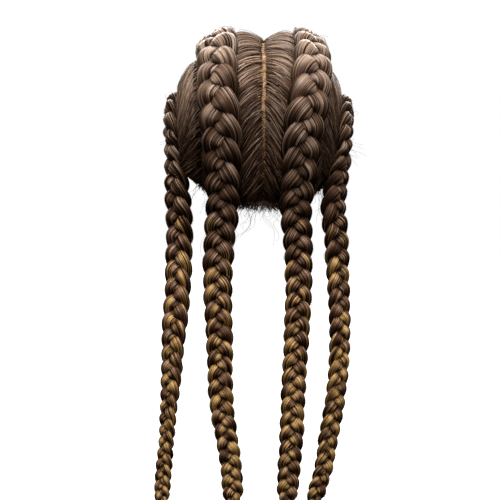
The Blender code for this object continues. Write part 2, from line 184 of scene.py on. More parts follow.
OUTER_RIGHT = (
    ScalpStop(58, 14, 0.50, 0.000),
    ScalpStop(62, 42, 0.72, 0.000),
    ScalpStop(66, 78, 0.82, 0.001),
    ScalpStop(66, 120, 0.86, 0.001),
    ScalpStop(63, 156, 0.88, 0.001),
    ScalpStop(59, 180, 0.93, 0.001),
    ScalpStop(55, 199, 0.94, 0.001),
    HangStop(0.00, 0.94, 0.79, 0.97, 42),
    HangStop(0.09, 0.98, 0.80, 0.94, 30),
    HangStop(0.18, 1.00, 0.80, 0.88, 26),
    HangStop(0.29, 1.02, 0.82, 0.82, 24),
    HangStop(0.41, 1.03, 0.86, 0.77, 26),
    HangStop(0.54, 1.00, 0.90, 0.75, 28),
    HangStop(0.65, 0.93, 0.92, 0.74, 24),
    HangStop(0.73, 0.87, 0.92, 0.72, 20),
    HangStop(0.83, 0.80, 0.92, 0.66, 16),
    HangStop(0.94, 0.65, 0.91, 0.62, 14),
    HangStop(1.00, 0.57, 0.90, 0.58, 14),
)

# A plait: turn is the length of one full round of the weave as a share of the width there, scalp_depth is its
# thickness on the scalp as a share of the width. Between it and the parting on its inner side the hair rises
# from root_hair to side_hair above the hollow. seed starts its random draws.
Plait = namedtuple("Plait", "name hand full_width turn scalp_depth stops root_hair side_hair seed")
PLAITS = (
    Plait("outer_left", 1, OUTER_BRAID_WIDTH, 1.95, 0.56, OUTER_LEFT, 0.0045, 0.0150, 11),
    Plait("inner_left", 1, INNER_BRAID_WIDTH, 1.76, 0.42, INNER_LEFT, 0.0014, 0.0085, 23),
    Plait("inner_right", -1, INNER_BRAID_WIDTH, 1.76, 0.42, INNER_RIGHT, 0.0014, 0.0085, 37),
    Plait("outer_right", -1, OUTER_BRAID_WIDTH, 1.95, 0.52, OUTER_RIGHT, 0.0042, 0.0080, 53),
)

# Samples along a plait, one row each.
Way = namedtuple("Way", "plait turns distances middles alongs outwards widths depths")

# How far back a combed lock sweeps, in degrees of back_angle, on its way from its root to the plait.
SweepStop = namedtuple("SweepStop", "back_angle inner_low inner_high outer_low outer_high")
SWEEP = (
    SweepStop(10, 14, 16, 20, 30),
    SweepStop(60, 8, 16, 42, 26),
    SweepStop(95, 5, 20, 55, 22),
    SweepStop(130, 12, 24, 58, 18),
    SweepStop(170, 22, 28, 46, 10),
    SweepStop(221, 34, 26, 30, 6),
)

# Baby hairs and wisps: where they root, how many, how long, how wide they curl and which way they lean.
Wisp = namedtuple("Wisp", "side_from side_to back_from back_to count points length curl lean_side lean_back")
WISPS = (
    Wisp(-20, 20, 216, 221, 900, 6, 0.0060, 0.0008, 0.0, 0.20),
    Wisp(-15, 15, 217, 221, 60, 10, 0.014, 0.0026, 0.0, 0.12),
    Wisp(-13, 13, 219, 221, 14, 18, 0.030, 0.0060, 0.0, 0.12),
    Wisp(2, 5, 220, 221, 2, 18, 0.058, 0.0090, 0.1, 0.05),
    Wisp(62, 70, 208, 213, 8, 18, 0.030, 0.0060, 0.5, 0.30),
    Wisp(72, 78, 150, 180, 20, 18, 0.024, 0.0085, 0.9, 0.20),
    Wisp(-46, -34, 215, 219, 26, 20, 0.042, 0.0075, -0.2, 0.10),
    Wisp(-74, -66, 160, 195, 20, 18, 0.024, 0.0085, -0.9, 0.20),
    Wisp(-46, -22, 213, 219, 160, 6, 0.006, 0.0010, -0.1, 0.10),
    Wisp(22, 52, 213, 219, 160, 6, 0.006, 0.0010, 0.1, 0.10),
    Wisp(30, 44, 216, 219, 8, 18, 0.030, 0.0040, 0.2, 0.10),
)


def setting(kind, **fixed):
    """A short way to declare settings of one kind, by name, description and default."""

    def declare(name, description, default):
        return kind(name=name, description=description, default=default, **fixed)

    return declare


real = setting(bpy.props.FloatProperty)
metres = setting(bpy.props.FloatProperty, unit="LENGTH")
whole = setting(bpy.props.IntProperty)
tint = setting(bpy.props.FloatVectorProperty, subtype="COLOR")
spot = setting(bpy.props.FloatVectorProperty, subtype="XYZ")


class StrandSettings(bpy.types.PropertyGroup):
    """Sizes of the plaited strands."""

    rings_per_turn: whole("Rings per turn", "Rings along one turn", 26)
    sides: whole("Sides", "Corners round a strand", 54)
    half_side: real("Half breadth", "Half a strand's breadth, in widths of the plait", 0.254)
    half_depth: real("Half depth", "Half a strand's depth, in depths of the plait", 0.300)
    relief: metres("Lock relief", "Height of the locks in a strand", 0.0010)
    run_in: metres("Run in", "Length in which a strand fills out", 0.016)


class CombedSettings(bpy.types.PropertyGroup):
    """Sizes of the hair combed over the cap."""

    locks: whole("Locks", "Locks on each side of a plait", 420)
    lock_points: whole("Lock points", "Rings along a lock", 10)
    lock_sides: whole("Lock sides", "Corners round a lock", 5)
    half_breadth: metres("Half breadth", "Half the breadth of a lock", 0.0010)
    half_depth: metres("Half depth", "Half the depth of a lock", 0.00055)
    root_height: metres("Root height", "Height of the hair at a side parting", 0.0022)
    puff: metres("Puff", "Height of the hair on a plait's far side", 0.0080)
    crown_puff: metres("Crown puff", "How much higher the hair is beside the centre parting", 0.0050)


class LooseSettings(bpy.types.PropertyGroup):
    """Sizes of the loose hairs."""

    per_plait: whole("Per plait", "Loose hairs on one plait", 210)
    per_section: whole("Per section", "Loose hairs on one section", 150)
    per_tuft: whole("Per tuft", "Hairs in the brush at a plait's end", 90)
    radius: metres("Radius", "Thickness of a drawn hair", 0.00016)


class HairColours(bpy.types.PropertyGroup):
    """Colours of the hair, net and bands."""

    shade: tint("Shade", "Deepest brown", (0.0060, 0.0032, 0.0020))
    brown: tint("Brown", "Body of the hair", (0.0340, 0.0185, 0.0110))
    ash: tint("Ash", "Fine ash streaks", (0.205, 0.146, 0.108))
    amber: tint("Amber", "Body of the golden locks", (0.100, 0.047, 0.012))
    honey: tint("Honey", "Light streaks of the golden locks", (0.320, 0.188, 0.064))
    net: tint("Net", "Lace of the cap", (0.240, 0.137, 0.070))
    band: tint("Band", "Elastic of the end bands", (0.012, 0.010, 0.009))


class StageSettings(bpy.types.PropertyGroup):
    """Camera, floor and lights."""

    view_width: metres("View width", "Width that the picture shows at the plaits", 0.515)
    distance: metres("Distance", "Camera's distance from the plaits", 9.0)
    centre: spot("Centre", "Middle of the picture", (0.0124, 0.095, -0.2142))
    surround: real("Surround", "Strength of the light from all round", 0.16)
    overhead: real("Overhead", "Strength of the soft light from above", 4.6)
    floor_drop: metres("Floor drop", "Floor below the lowest hair", 0.06)


def smoothstep(share):
    share = np.clip(share, 0.0, 1.0)
    return share * share * (3 - 2 * share)


def grow(least, share):
    """Rises smoothly from a least value to 1 as the share goes from 0 to 1."""
    return least + (1 - least) * smoothstep(share)


def by_height(table, heights):
    """Values at these heights, from a table with a row of height and value for each stop."""
    return np.interp(heights, *np.array(table).T)


def is_inner(plait):
    return plait.name.startswith("inner")


def unit(vectors):
    return vectors / np.maximum(np.linalg.norm(vectors, axis=-1, keepdims=True), 1e-12)


def scalp(side_angles, back_angles, heights):
    """Points this high above the hollow, and its normals there, in directions from the head's centre."""
    side, back, height = np.broadcast_arrays(np.radians(side_angles), np.radians(back_angles), heights)
    direction = np.stack([np.sin(side), -np.cos(side) * np.cos(back), np.cos(side) * np.sin(back)], -1)
    sizes = np.empty_like(direction)
    sizes[..., 0] = HEAD_HALF_WIDTH
    sizes[..., 1] = HEAD_HALF_LENGTH
    sizes[..., 2] = np.where(direction[..., 2] >= 0, CROWN_HEIGHT, NAPE_REACH)
    level = (np.abs(direction / sizes) ** HEAD_SQUARENESS).sum(-1, keepdims=True)
    surface = direction * level ** (-1.0 / HEAD_SQUARENESS)
    normal = unit(np.sign(surface) * np.abs(surface / sizes) ** (HEAD_SQUARENESS - 1) / sizes)
    return surface + normal * height[..., None] - (0, 0, CROWN_HEIGHT), normal


def edge_angles(side_angles):
    """Where the cap's edge runs in front and behind at these side angles."""
    stops, *columns = np.array(CAP_EDGE, float).T
    return [np.interp(np.abs(side_angles), stops, column) for column in columns]


def stop_places(plait):
    """Middle, outward direction, width and thickness of a plait at each of its stops, a row each."""
    rows = []
    for stop in plait.stops:
        width = stop.width * plait.full_width
        if isinstance(stop, ScalpStop):
            depth = width * plait.scalp_depth
            height = BED_HEIGHT + stop.lift + depth / 2
            middle, outward = scalp(plait.hand * stop.side_angle, stop.back_angle, height)
        else:
            depth = width * HANGING_FLATNESS
            nape, _ = scalp(0.0, CAP_EDGE[0].back_angle, 0.0)
            side = plait.hand * stop.side * HEAD_HALF_WIDTH
            middle = (side, stop.back * HEAD_HALF_LENGTH, nape[2] - stop.drop * HANG_LENGTH)
            turn = math.radians(stop.turn)
            outward = (plait.hand * math.sin(turn), math.cos(turn), 0)
        rows.append((*middle, *outward, width, depth))
    return np.array(rows)


def plait_way(plait):
    """Close samples along a plait, and the turns of its weave at each, which end in a whole step."""
    stops = stop_places(plait)
    knots = np.concatenate([[0], np.cumsum(np.linalg.norm(np.diff(stops[:, :3], axis=0), axis=1))])
    count = len(knots)
    before = np.maximum(np.arange(count) - 1, 0)
    after = np.minimum(np.arange(count) + 1, count - 1)
    slopes = (stops[after] - stops[before]) / (knots[after] - knots[before])[:, None]
    place = np.linspace(0, knots[-1], SAMPLES_PER_STOP * (count - 1) + 1)
    index = np.clip(np.searchsorted(knots, place, side="right") - 1, 0, count - 2)
    span = (knots[index + 1] - knots[index])[:, None]
    share = (place - knots[index])[:, None] / span
    square, cube = share**2, share**3
    rows = (
        stops[index] * (2 * cube - 3 * square + 1)
        + stops[index + 1] * (3 * square - 2 * cube)
        + slopes[index] * span * (cube - 2 * square + share)
        + slopes[index + 1] * span * (cube - square)
    )
    middles, outwards, widths, depths = rows[:, :3], rows[:, 3:6], rows[:, 6], rows[:, 7]
    steps = np.linalg.norm(np.diff(middles, axis=0), axis=1)
    distances = np.concatenate([[0], np.cumsum(steps)])
    shortest = plait.turn * plait.stops[-1].width * plait.full_width
    turns = np.concatenate([[0], np.cumsum(steps / np.maximum(plait.turn * widths[:-1], shortest))])
    turns *= round(turns[-1] * STEPS_PER_TURN) / STEPS_PER_TURN / turns[-1]
    alongs = unit(np.gradient(middles, axis=0))
    return Way(plait, turns, distances, middles, alongs, outwards, widths, depths)


def tied_size(size, to_end):
    """A width or thickness drawn in to the end band, and let out again in the tuft below it."""
    above = to_end - TUFT_LENGTH
    gathered = TIE_GRIP + (size - TIE_GRIP) * smoothstep(above / GATHER_LENGTH)
    down = np.clip(-above / TUFT_LENGTH, 0, 1)
    full = TIE_GRIP + (TUFT_WIDTH - TIE_GRIP) * np.sin(np.pi * np.minimum(down * 1.5, 1.0))
    return np.where(above >= 0, gathered, TIP_WIDTH + (full - TIP_WIDTH) * (1 - down**2))


def along_way(way, turn, side=0.0, depth=0.0):
    """Points of the weave after these turns, at these shares of the plait's width and thickness."""
    within = np.clip(turn, 0, way.turns[-1])

    def read(columns):
        return np.stack([np.interp(within, way.turns, column) for column in columns.T], -1)

    along = unit(read(way.alongs))
    outward = read(way.outwards)
    outward = unit(outward - along * (outward * along).sum(-1, keepdims=True))
    across = np.cross(along, outward) * way.plait.hand
    to_end = way.distances[-1] - np.interp(within, way.turns, way.distances)
    width = tied_size(np.interp(within, way.turns, way.widths), to_end)
    thick = tied_size(np.interp(within, way.turns, way.depths), to_end)
    overrun = (turn - within) * way.plait.turn * TIE_GRIP
    points = read(way.middles) + along * overrun[..., None]
    return points + across * (side * width)[..., None] + outward * (depth * thick)[..., None]


def strand_phase(turn, strand):
    return 2 * np.pi * (FIRST_PHASE / 360 + turn + strand / len(STRANDS))


def strand_middle(phase):
    """Side and depth of a strand's middle, and how its run leans from the plait's."""
    side = SIDE_SWING * np.sin(phase)
    depth = DEPTH_SWING / WEAVE_THICKNESS * np.sin(2 * phase)
    slope = SIDE_SWING * np.cos(phase) * 2 * np.pi / WEAVE_TURN
    return side, depth, slope, np.hypot(1.0, slope)


def strand_corners(settings, phase, angle, swell=1.0):
    """Side, depth and turns ahead of corners round a strand, square to the way that it runs."""
    side, depth, slope, lean = strand_middle(phase)
    sideways = settings.half_side * swell * np.cos(angle)
    deep = settings.half_depth * swell * np.sin(angle)
    return side + sideways / lean, depth + deep, -sideways * slope / lean / WEAVE_TURN


def nearness(settings, turn, strand, side, depth):
    """How near points of one strand lie to the others: 1 is on another's surface, more is clear of it."""
    nearest = np.full(np.shape(side), 9.0)
    for other in range(len(STRANDS)):
        if other != strand:
            middle, level, _, lean = strand_middle(strand_phase(turn, other))
            sideways = (side - middle) * lean / settings.half_side
            nearest = np.minimum(nearest, np.hypot(sideways, (depth - level) / settings.half_depth))
    return nearest


# Waves round a strand that make its locks: how many of each, and how much they add.
LOCK_WAVES = ((4, 0.5), (7, 0.9), (10, 0.8), (15, 0.45))
# How far the waves drift in a turn, how far they swing and how fast, and the sum at which a lock is full.
LOCK_DRIFT = 1.6
LOCK_SWING = 0.9
LOCK_PACE = 3
LOCK_FULL = 1.6


def lock_swell(angle, turn, draws):
    """The locks round a strand, from 0 in a groove to 1 on a lock's back; they drift slowly along it."""
    total = np.zeros(np.broadcast(angle, turn).shape)
    for waves, share in LOCK_WAVES:
        start, drift, swing, pace = draws.uniform(-1, 1, 4)
        swung = LOCK_SWING * np.sin(turn * (LOCK_PACE + pace) + swing * np.pi)
        total = total + share * np.cos(waves * angle + (start * np.pi + drift * turn * LOCK_DRIFT + swung))
    return np.minimum(np.abs(total) / LOCK_FULL, 1.0)


def tube_faces(rings, sides, first=0, flip=False):
    """Quads between the rings of a tube and a many-sided cap on each end, facing outwards."""
    ring = np.arange(rings - 1)[:, None] * sides
    corner = np.arange(sides)[None, :]
    after = (corner + 1) % sides
    quads = np.stack([ring + corner, ring + sides + corner, ring + sides + after, ring + after], -1)
    quads = quads.reshape(-1, 4) + first
    start = np.arange(sides) + first
    end = np.arange(sides)[::-1] + first + (rings - 1) * sides
    faces = quads[:, ::-1].tolist() if flip else quads.tolist()
    caps = [start[::-1].tolist(), end[::-1].tolist()] if flip else [start.tolist(), end.tolist()]
    return faces + caps


def streak_run(*parts):
    """Where points lie in the streaks' noise: two ways across the hair, and along it."""
    return np.stack(np.broadcast_arrays(*parts), -1)


class Heap:
    """Points, faces and colour values gathered for one joined mesh."""

    def __init__(self):
        self.points, self.faces, self.runs = [], [], []
        self.values = {"hair_tone": [], "hair_gold": [], "hair_painted_light": []}
        self.count = 0

    def add(self, points, faces, run, *values):
        """Points and runs are (..., 3), and tone, gold and painted light (...) or one value for all."""
        self.points.append(points.reshape(-1, 3))
        self.faces += faces
        self.runs.append(run.reshape(-1, 3))
        for store, value in zip(self.values.values(), values):
            store.append(np.broadcast_to(value, points.shape[:-1]).ravel())
        self.count += points[..., 0].size

    def tubes(self, paths, ups, breadths, depths, sides, runs, *values):
        """Many thin tubes: paths and ups are (tubes, rings, 3), and the rest (tubes, rings)."""
        tubes, rings, _ = paths.shape
        along = unit(np.gradient(paths, axis=1))
        across = unit(np.cross(along, ups))
        up = np.cross(across, along)
        angle = (np.arange(sides) + 0.5) * 2 * np.pi / sides
        around = across[:, :, None] * (np.cos(angle)[:, None] * breadths[:, :, None, None])
        above = up[:, :, None] * (np.sin(angle)[:, None] * depths[:, :, None, None])
        spread = np.zeros((tubes, rings, sides, 3))
        spread[..., 0] = np.cos(angle) * breadths[:, :, None] * MILLIMETRES
        spread[..., 1] = np.sin(angle) * depths[:, :, None] * MILLIMETRES
        faces = []
        for tube in range(tubes):
            faces += tube_faces(rings, sides, self.count + tube * rings * sides)
        values = [np.broadcast_to(value, (tubes, rings))[..., None] for value in values]
        self.add(paths[:, :, None] + around + above, faces, runs[:, :, None] + spread, *values)

    def piece(self, name, material):
        """The joined mesh as one object, with its colour values as attributes."""
        mesh = bpy.data.meshes.new(name)
        mesh.from_pydata(np.concatenate(self.points), [], self.faces)
        for label, store in self.values.items():
            layer = mesh.attributes.new(label, "FLOAT", "POINT")
            layer.data.foreach_set("value", np.concatenate(store).astype(np.float32))
        layer = mesh.attributes.new("hair_run", "FLOAT_VECTOR", "POINT")
        layer.data.foreach_set("vector", np.concatenate(self.runs).astype(np.float32).ravel())
        mesh.materials.append(material)
        mesh.shade_smooth()
        mesh.update()
        piece = bpy.data.objects.new(name, mesh)
        bpy.context.scene.collection.objects.link(piece)
        return piece


class Nodes:
    """Adds and joins the nodes of one material, or of the world."""

    def __init__(self, owner):
        owner.use_nodes = True
        self.owner = owner
        self.tree = owner.node_tree
        self.shader = self.tree.nodes.get("Principled BSDF") or self.tree.nodes["Background"]

    def fill(self, node, values):
        """Links a node's inputs to the outputs given, or sets plain values on them."""
        for key, value in values.items():
            if isinstance(value, bpy.types.NodeSocket):
                self.tree.links.new(value, node.inputs[key])
            else:
                node.inputs[key].default_value = value

    def add(self, kind, values=None, **settings):
        node = self.tree.nodes.new(kind)
        for key, value in settings.items():
            setattr(node, key, value)
        self.fill(node, values or {})
        return node

    def maths(self, operation, first, second=0.0, third=0.0, clamp=False):
        values = {0: first, 1: second, 2: third}
        return self.add("ShaderNodeMath", values, operation=operation, use_clamp=clamp).outputs[0]

    def span(self, value, low, high, least=0.0, most=1.0, interpolation_type="LINEAR"):
        """Takes values from low to high to values from least to most."""
        values = {"Value": value, "From Min": low, "From Max": high, "To Min": least, "To Max": most}
        return self.add("ShaderNodeMapRange", values, interpolation_type=interpolation_type).outputs["Result"]

    def attribute(self, name, output="Fac"):
        return self.add("ShaderNodeAttribute", attribute_name=name).outputs[output]

    def ramp(self, factor, stops):
        """Colours by factor; a stop is a position, a colour and how much of the colour's strength it has."""
        node = self.add("ShaderNodeValToRGB", {"Fac": factor})
        elements = node.color_ramp.elements
        while len(elements) < len(stops):
            elements.new(0.5)
        for element, (position, colour, strength) in zip(elements, stops):
            element.position = position
            element.color = (*(part * strength for part in colour), 1.0)
        return node.outputs["Color"]

    def mix(self, factor, first, second, blend="MIX"):
        values = {0: factor, 6: first, 7: second}
        return self.add("ShaderNodeMix", values, data_type="RGBA", blend_type=blend).outputs[2]

    def streaks(self, run, scale, detail):
        """Noise drawn out along the hair; scale is how many streaks lie in a millimetre each way."""
        stretched = self.add("ShaderNodeVectorMath", {0: run, 1: scale}, operation="MULTIPLY").outputs[0]
        noise = self.add("ShaderNodeTexNoise", {"Vector": stretched, "Scale": 1.0, "Detail": detail})
        return noise.outputs["Fac"]

    def finish(self, colour, roughness, specular, height, strength, distance):
        """Gives the shader its colour, its gloss and a relief of this height, and hands back the relief."""
        bump = self.add("ShaderNodeBump", {"Strength": strength, "Distance": distance, "Height": height})
        looks = {"Base Color": colour, "Roughness": roughness, "Specular IOR Level": specular}
        self.fill(self.shader, {**looks, "Normal": bump.outputs["Normal"]})
        return bump


# Streaks across the hair, across it the other way and along it, and their detail.
FINE_STREAKS = ((1.30, 1.30, 0.45), 3.0)
BROAD_STREAKS = ((0.42, 0.42, 0.60), 1.0)
LOCK_STREAKS = ((0.15, 0.15, 1.10), 0.5)

# Tints that multiply a colour: brown hair among gold, painted shade on hair between locks, against other
# strands and towards the nape, holes of the lace.
WARM_TINT = (1.16, 0.84, 0.54, 1.0)
SHADED_TINT = (0.10, 0.080, 0.068, 1.0)
HOLE_TINT = (0.30, 0.25, 0.21, 1.0)

# How much of each kind of streak the tone of the hair takes, and the tone that it starts from.
Tuning = namedtuple("Tuning", "base fine broad")
TUNINGS = {"plaited_hair": Tuning(0.245, 2.60, 0.54), "combed_hair": Tuning(0.275, 2.20, 0.46)}


def hair_material(name, colours):
    """Hair: fine streaks along it, golden locks among brown ones, and painted shade between the locks."""
    nodes = Nodes(bpy.data.materials.new(name))
    tuning = TUNINGS[name]
    browns = (
        (0.22, colours.shade, 1.0),
        (0.47, colours.brown, 1.0),
        (0.63, colours.brown, 1.9),
        (0.86, colours.ash, 1.0),
    )
    golds = ((0.22, colours.amber, 0.20), (0.50, colours.amber, 1.0), (0.86, colours.honey, 1.0))
    run = nodes.attribute("hair_run", "Vector")
    gold = nodes.attribute("hair_gold")
    painted_light = nodes.attribute("hair_painted_light")
    fine = nodes.streaks(run, *FINE_STREAKS)
    broad = nodes.streaks(run, *BROAD_STREAKS)
    lock = nodes.streaks(run, *LOCK_STREAKS)
    among = nodes.maths("ADD", nodes.maths("ADD", lock, gold), nodes.maths("MULTIPLY", broad, 0.35))
    share = nodes.span(among, 1.04, 1.18, interpolation_type="SMOOTHSTEP")
    parted = nodes.maths("MULTIPLY", nodes.maths("SUBTRACT", share, 0.5), nodes.maths("MULTIPLY", gold, 0.46))
    gain = nodes.span(lock, 0.36, 0.64, 0.45, 1.35)
    streak = nodes.maths("MULTIPLY", nodes.maths("SUBTRACT", fine, 0.5), gain)
    tone = nodes.maths("MULTIPLY_ADD", streak, tuning.fine, tuning.base)
    tone = nodes.maths("ADD", tone, nodes.maths("MULTIPLY", broad, tuning.broad))
    tone = nodes.maths("ADD", tone, parted)
    tone = nodes.maths("ADD", tone, nodes.attribute("hair_tone"), clamp=True)
    brown = nodes.ramp(tone, browns)
    warmth = nodes.maths("MULTIPLY", gold, 1.5, clamp=True)
    brown = nodes.mix(warmth, brown, nodes.mix(1.0, brown, WARM_TINT, "MULTIPLY"))
    hair = nodes.mix(share, brown, nodes.ramp(tone, golds))
    # Painted shade: where its painted light is low the hair takes the shaded tint, darker in creases and
    # towards the nape.
    hair = nodes.mix(painted_light, nodes.mix(1.0, hair, SHADED_TINT, "MULTIPLY"), hair)
    shine = nodes.maths("MULTIPLY", nodes.span(tone, 0.35, 0.90, most=0.16), painted_light)
    nodes.finish(hair, 0.30, shine, fine, 0.55, 0.0006)
    return nodes.owner


def net_material(colours):
    """Lace of tan thread, with holes that show on its inside, and with the same net in low relief."""
    nodes = Nodes(bpy.data.materials.new("cap_lace"))
    where = nodes.add("ShaderNodeTexCoord").outputs["Object"]
    cells = nodes.add("ShaderNodeTexVoronoi", {"Vector": where, "Scale": 300.0}, feature="DISTANCE_TO_EDGE")
    depth = cells.outputs["Distance"]
    shown = nodes.maths("MULTIPLY_ADD", nodes.attribute("lace_inside"), 0.85, 0.15)
    hole = nodes.maths("MULTIPLY", nodes.span(depth, 0.04, 0.13), shown)
    patches = nodes.add("ShaderNodeTexNoise", {"Vector": where, "Scale": 60.0, "Detail": 3.0})
    tan = nodes.ramp(patches.outputs["Fac"], ((0.3, colours.net, 0.7), (0.7, colours.net, 1.2)))
    lace = nodes.mix(hole, tan, nodes.mix(1.0, tan, HOLE_TINT, "MULTIPLY"))
    nodes.finish(lace, 0.75, 0.5, depth, 0.4, 0.0003).invert = True
    return nodes.owner


def band_material(colours):
    """Covered elastic: near black, with the slant of its wound thread."""
    nodes = Nodes(bpy.data.materials.new("covered_elastic"))
    where = nodes.add("ShaderNodeTexCoord").outputs["Object"]
    slant = {"Vector": where, "Scale": 700.0, "Distortion": 1.5}
    thread = nodes.add("ShaderNodeTexWave", slant, bands_direction="DIAGONAL").outputs["Fac"]
    elastic = nodes.ramp(thread, ((0.2, colours.band, 1.0), (0.9, colours.band, 2.0)))
    nodes.finish(elastic, 0.6, 0.2, thread, 0.5, 0.0002)
    return nodes.owner


def shared_material(name):
    """A finish, made the first time that a piece asks for it."""
    if name in bpy.data.materials:
        return bpy.data.materials[name]
    colours = bpy.context.scene.wig_colours
    if name == "cap_lace":
        return net_material(colours)
    if name == "covered_elastic":
        return band_material(colours)
    return hair_material(name, colours)


def dress(piece, slot, *nodes):
    """Ties a finished piece to the frame's one body and hides the nodes that it stands for; its slot is not
    used.
    """
    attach(piece, "root")
    if nodes:
        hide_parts(*nodes)


# By height below the crown. How golden the hair is, from the head down the plaits:
GOLD = ((-0.46, 0.45), (-0.34, 0.41), (-0.25, 0.36), (-0.19, 0.26), (-0.13, 0.10), (-0.02, 0.06))
# what is added to its tone, from the nape to the sunlit crown:
HEAD_SHADE = ((-0.26, 0.0), (-0.20, -0.08), (-0.15, -0.13), (-0.10, -0.10), (-0.05, 0.02), (0.0, 0.19))
# how open to the light the inner plaits, the outer plaits and the combed hair are, with least at the nape:
HANGING_LIGHT = ((-0.50, 0.86), (-0.30, 0.84), (-0.22, 0.84))
INNER_LIGHT = (*HANGING_LIGHT, (-0.16, 0.56), (-0.10, 0.56), (-0.05, 0.86), (-0.01, 1.0))
OUTER_LIGHT = (*HANGING_LIGHT, (-0.16, 0.86), (-0.05, 0.86), (-0.01, 1.0))
COMBED_LIGHT = ((-0.20, 0.12), (-0.16, 0.15), (-0.13, 0.28), (-0.10, 0.44), (-0.06, 0.80), (-0.02, 1.0))
# and how much fuller the strands are on the back of the head.
FULLER = ((-0.20, 0.0), (-0.13, 0.17), (-0.05, 0.17), (-0.02, 0.08), (0.01, 0.03))

# The run of a strand's streaks in millimetres: a radius as a share of the plait's width, a step from one
# strand to the next, and how fast it goes on with each metre of length.
RUN_RADIUS = 0.2
RUN_STEP = 31
RUN_PACE = 35
# A strand thins to these shares of its fullness at its start and its tip.
START_FULLNESS = 0.45
TIP_FULLNESS = 0.12
# Uneven fullness along a strand: the pace and height of two slow waves, and how it swells at its bends.
UNEVENNESS = ((5.3, 0.045), (8.9, 0.035))
BEND_SWELL = 0.05
SWELL_PHASE = 2.2
# A strand gets painted shade where it lies against its neighbours, and is in the light from this nearness on,
# fully so after this much more of it; the grooves between its locks keep this share of the light, painted
# shade for the rest.
CLEAR_FROM = 0.98
CLEAR_SPAN = 0.76
GROOVE_LIGHT = 0.66
# A painted highlight on the bend that lies uppermost and painted shade on the bend below: its place in the
# weave, and its share of light and of tone; and how much lighter the locks are than the grooves, as painted
# shade in the grooves.
BEND_PHASE = 1.2
BEND_LIGHT = 0.20
BEND_PAINTED_HIGHLIGHT = 0.17
GROOVE_PAINTED_SHADE = 0.10


def make_strand(way, strand, settings, material):
    """One strand of a plait: a fat oval of locks that follows the weave from the hairline to the tip."""
    plait = way.plait
    draws = np.random.default_rng(plait.seed * 10 + strand)
    rings = round(way.turns[-1] * settings.rings_per_turn) + 1
    turn = np.linspace(0, way.turns[-1], rings)[:, None]
    angle = np.linspace(0, 2 * np.pi, settings.sides, endpoint=False)[None, :]
    phase = strand_phase(turn, strand)
    travelled = np.interp(turn, way.turns, way.distances)
    to_end = way.distances[-1] - travelled
    thin = grow(START_FULLNESS, travelled / settings.run_in)
    thin = thin * (TIP_FULLNESS + (1 - TIP_FULLNESS) * np.sqrt(np.clip(to_end / TUFT_LENGTH, 0, 1)))
    # One start more than it needs is drawn, because every later draw follows from it.
    starts = draws.uniform(0, 2 * np.pi, 3)
    fuller = by_height(FULLER, np.interp(turn, way.turns, way.middles[:, 2]))
    swell = 1 + BEND_SWELL * np.cos(2 * phase - SWELL_PHASE) + fuller
    for start, (waves, height) in zip(starts, UNEVENNESS):
        swell = swell + height * np.sin(turn * waves + start)
    swell = swell * thin
    side, depth, ahead = strand_corners(settings, phase, angle, swell)
    middles = along_way(way, turn + ahead, side, depth)
    around = np.roll(middles, -1, axis=1) - np.roll(middles, 1, axis=1)
    normals = unit(np.cross(np.gradient(middles, axis=0), around)) * -plait.hand
    locks = lock_swell(angle, turn, draws)
    size = plait.full_width / INNER_BRAID_WIDTH
    relief = settings.relief * math.sqrt(size) * np.minimum(thin, 1.0)
    points = middles + normals * (relief * (locks - 0.5))[..., None]
    # Painted shade where the strand lies against the other strands and in the grooves between its locks, and
    # by height towards the nape.
    near = nearness(settings, turn + ahead, strand, side, depth)
    painted_light = smoothstep((near - CLEAR_FROM) / CLEAR_SPAN) * grow(GROOVE_LIGHT, locks / 0.40)
    # Painted highlight on the uppermost bend of the outer side, painted shade on the bend below it.
    outer_side = np.clip(1 + 3 * (np.sin(angle) + 0.3), -1, 1)
    over = np.cos(2 * phase - BEND_PHASE) * outer_side
    painted_light = painted_light * (1 - BEND_LIGHT + BEND_LIGHT * over)
    painted_light = painted_light * by_height(INNER_LIGHT if is_inner(plait) else OUTER_LIGHT, points[..., 2])
    # The tone takes the painted highlight on the bend, painted shade in the grooves, and painted light and
    # shade by height.
    tone = BEND_PAINTED_HIGHLIGHT * over + GROOVE_PAINTED_SHADE * (locks - 0.5) + by_height(HEAD_SHADE, points[..., 2])
    gold = by_height(GOLD, points[..., 2])
    radius = plait.full_width * RUN_RADIUS * MILLIMETRES
    right, out = radius * np.cos(angle), radius * np.sin(angle)
    run = streak_run(right + strand * RUN_STEP, out + plait.seed, travelled * RUN_PACE)
    heap = Heap()
    faces = tube_faces(rings, settings.sides, flip=plait.hand < 0)
    heap.add(points, faces, run, tone, gold, painted_light)
    return heap.piece(f"plaited_{plait.name}_{STRANDS[strand]}", material)


def bed_angles(plait, back_angles):
    """A plait's side angle on the scalp, half its width in degrees and the hair padded under it."""
    stops = [stop for stop in plait.stops if isinstance(stop, ScalpStop)]
    table = np.array(stops, float)
    back = np.clip(back_angles, table[0, 1], table[-1, 1])
    middle, width, lift = (np.interp(back, table[:, 1], table[:, column]) for column in (0, 2, 3))
    surface, _ = scalp(middle, back, 0.0)
    radius = np.linalg.norm(surface + (0, 0, CROWN_HEIGHT), axis=-1)
    return middle, np.degrees(width * plait.full_width / 2 / radius), lift


# Angles in degrees: half the centre parting's opening, its shift to the wearer's right, how far the hair of
# the outer plaits reaches over the side parting, and where it starts over the ear.
HALF_PARTING = 1.10
PARTING_SHIFT = 1.1
SIDE_OVERLAP = 6.0
EAR_EDGE = 84.0
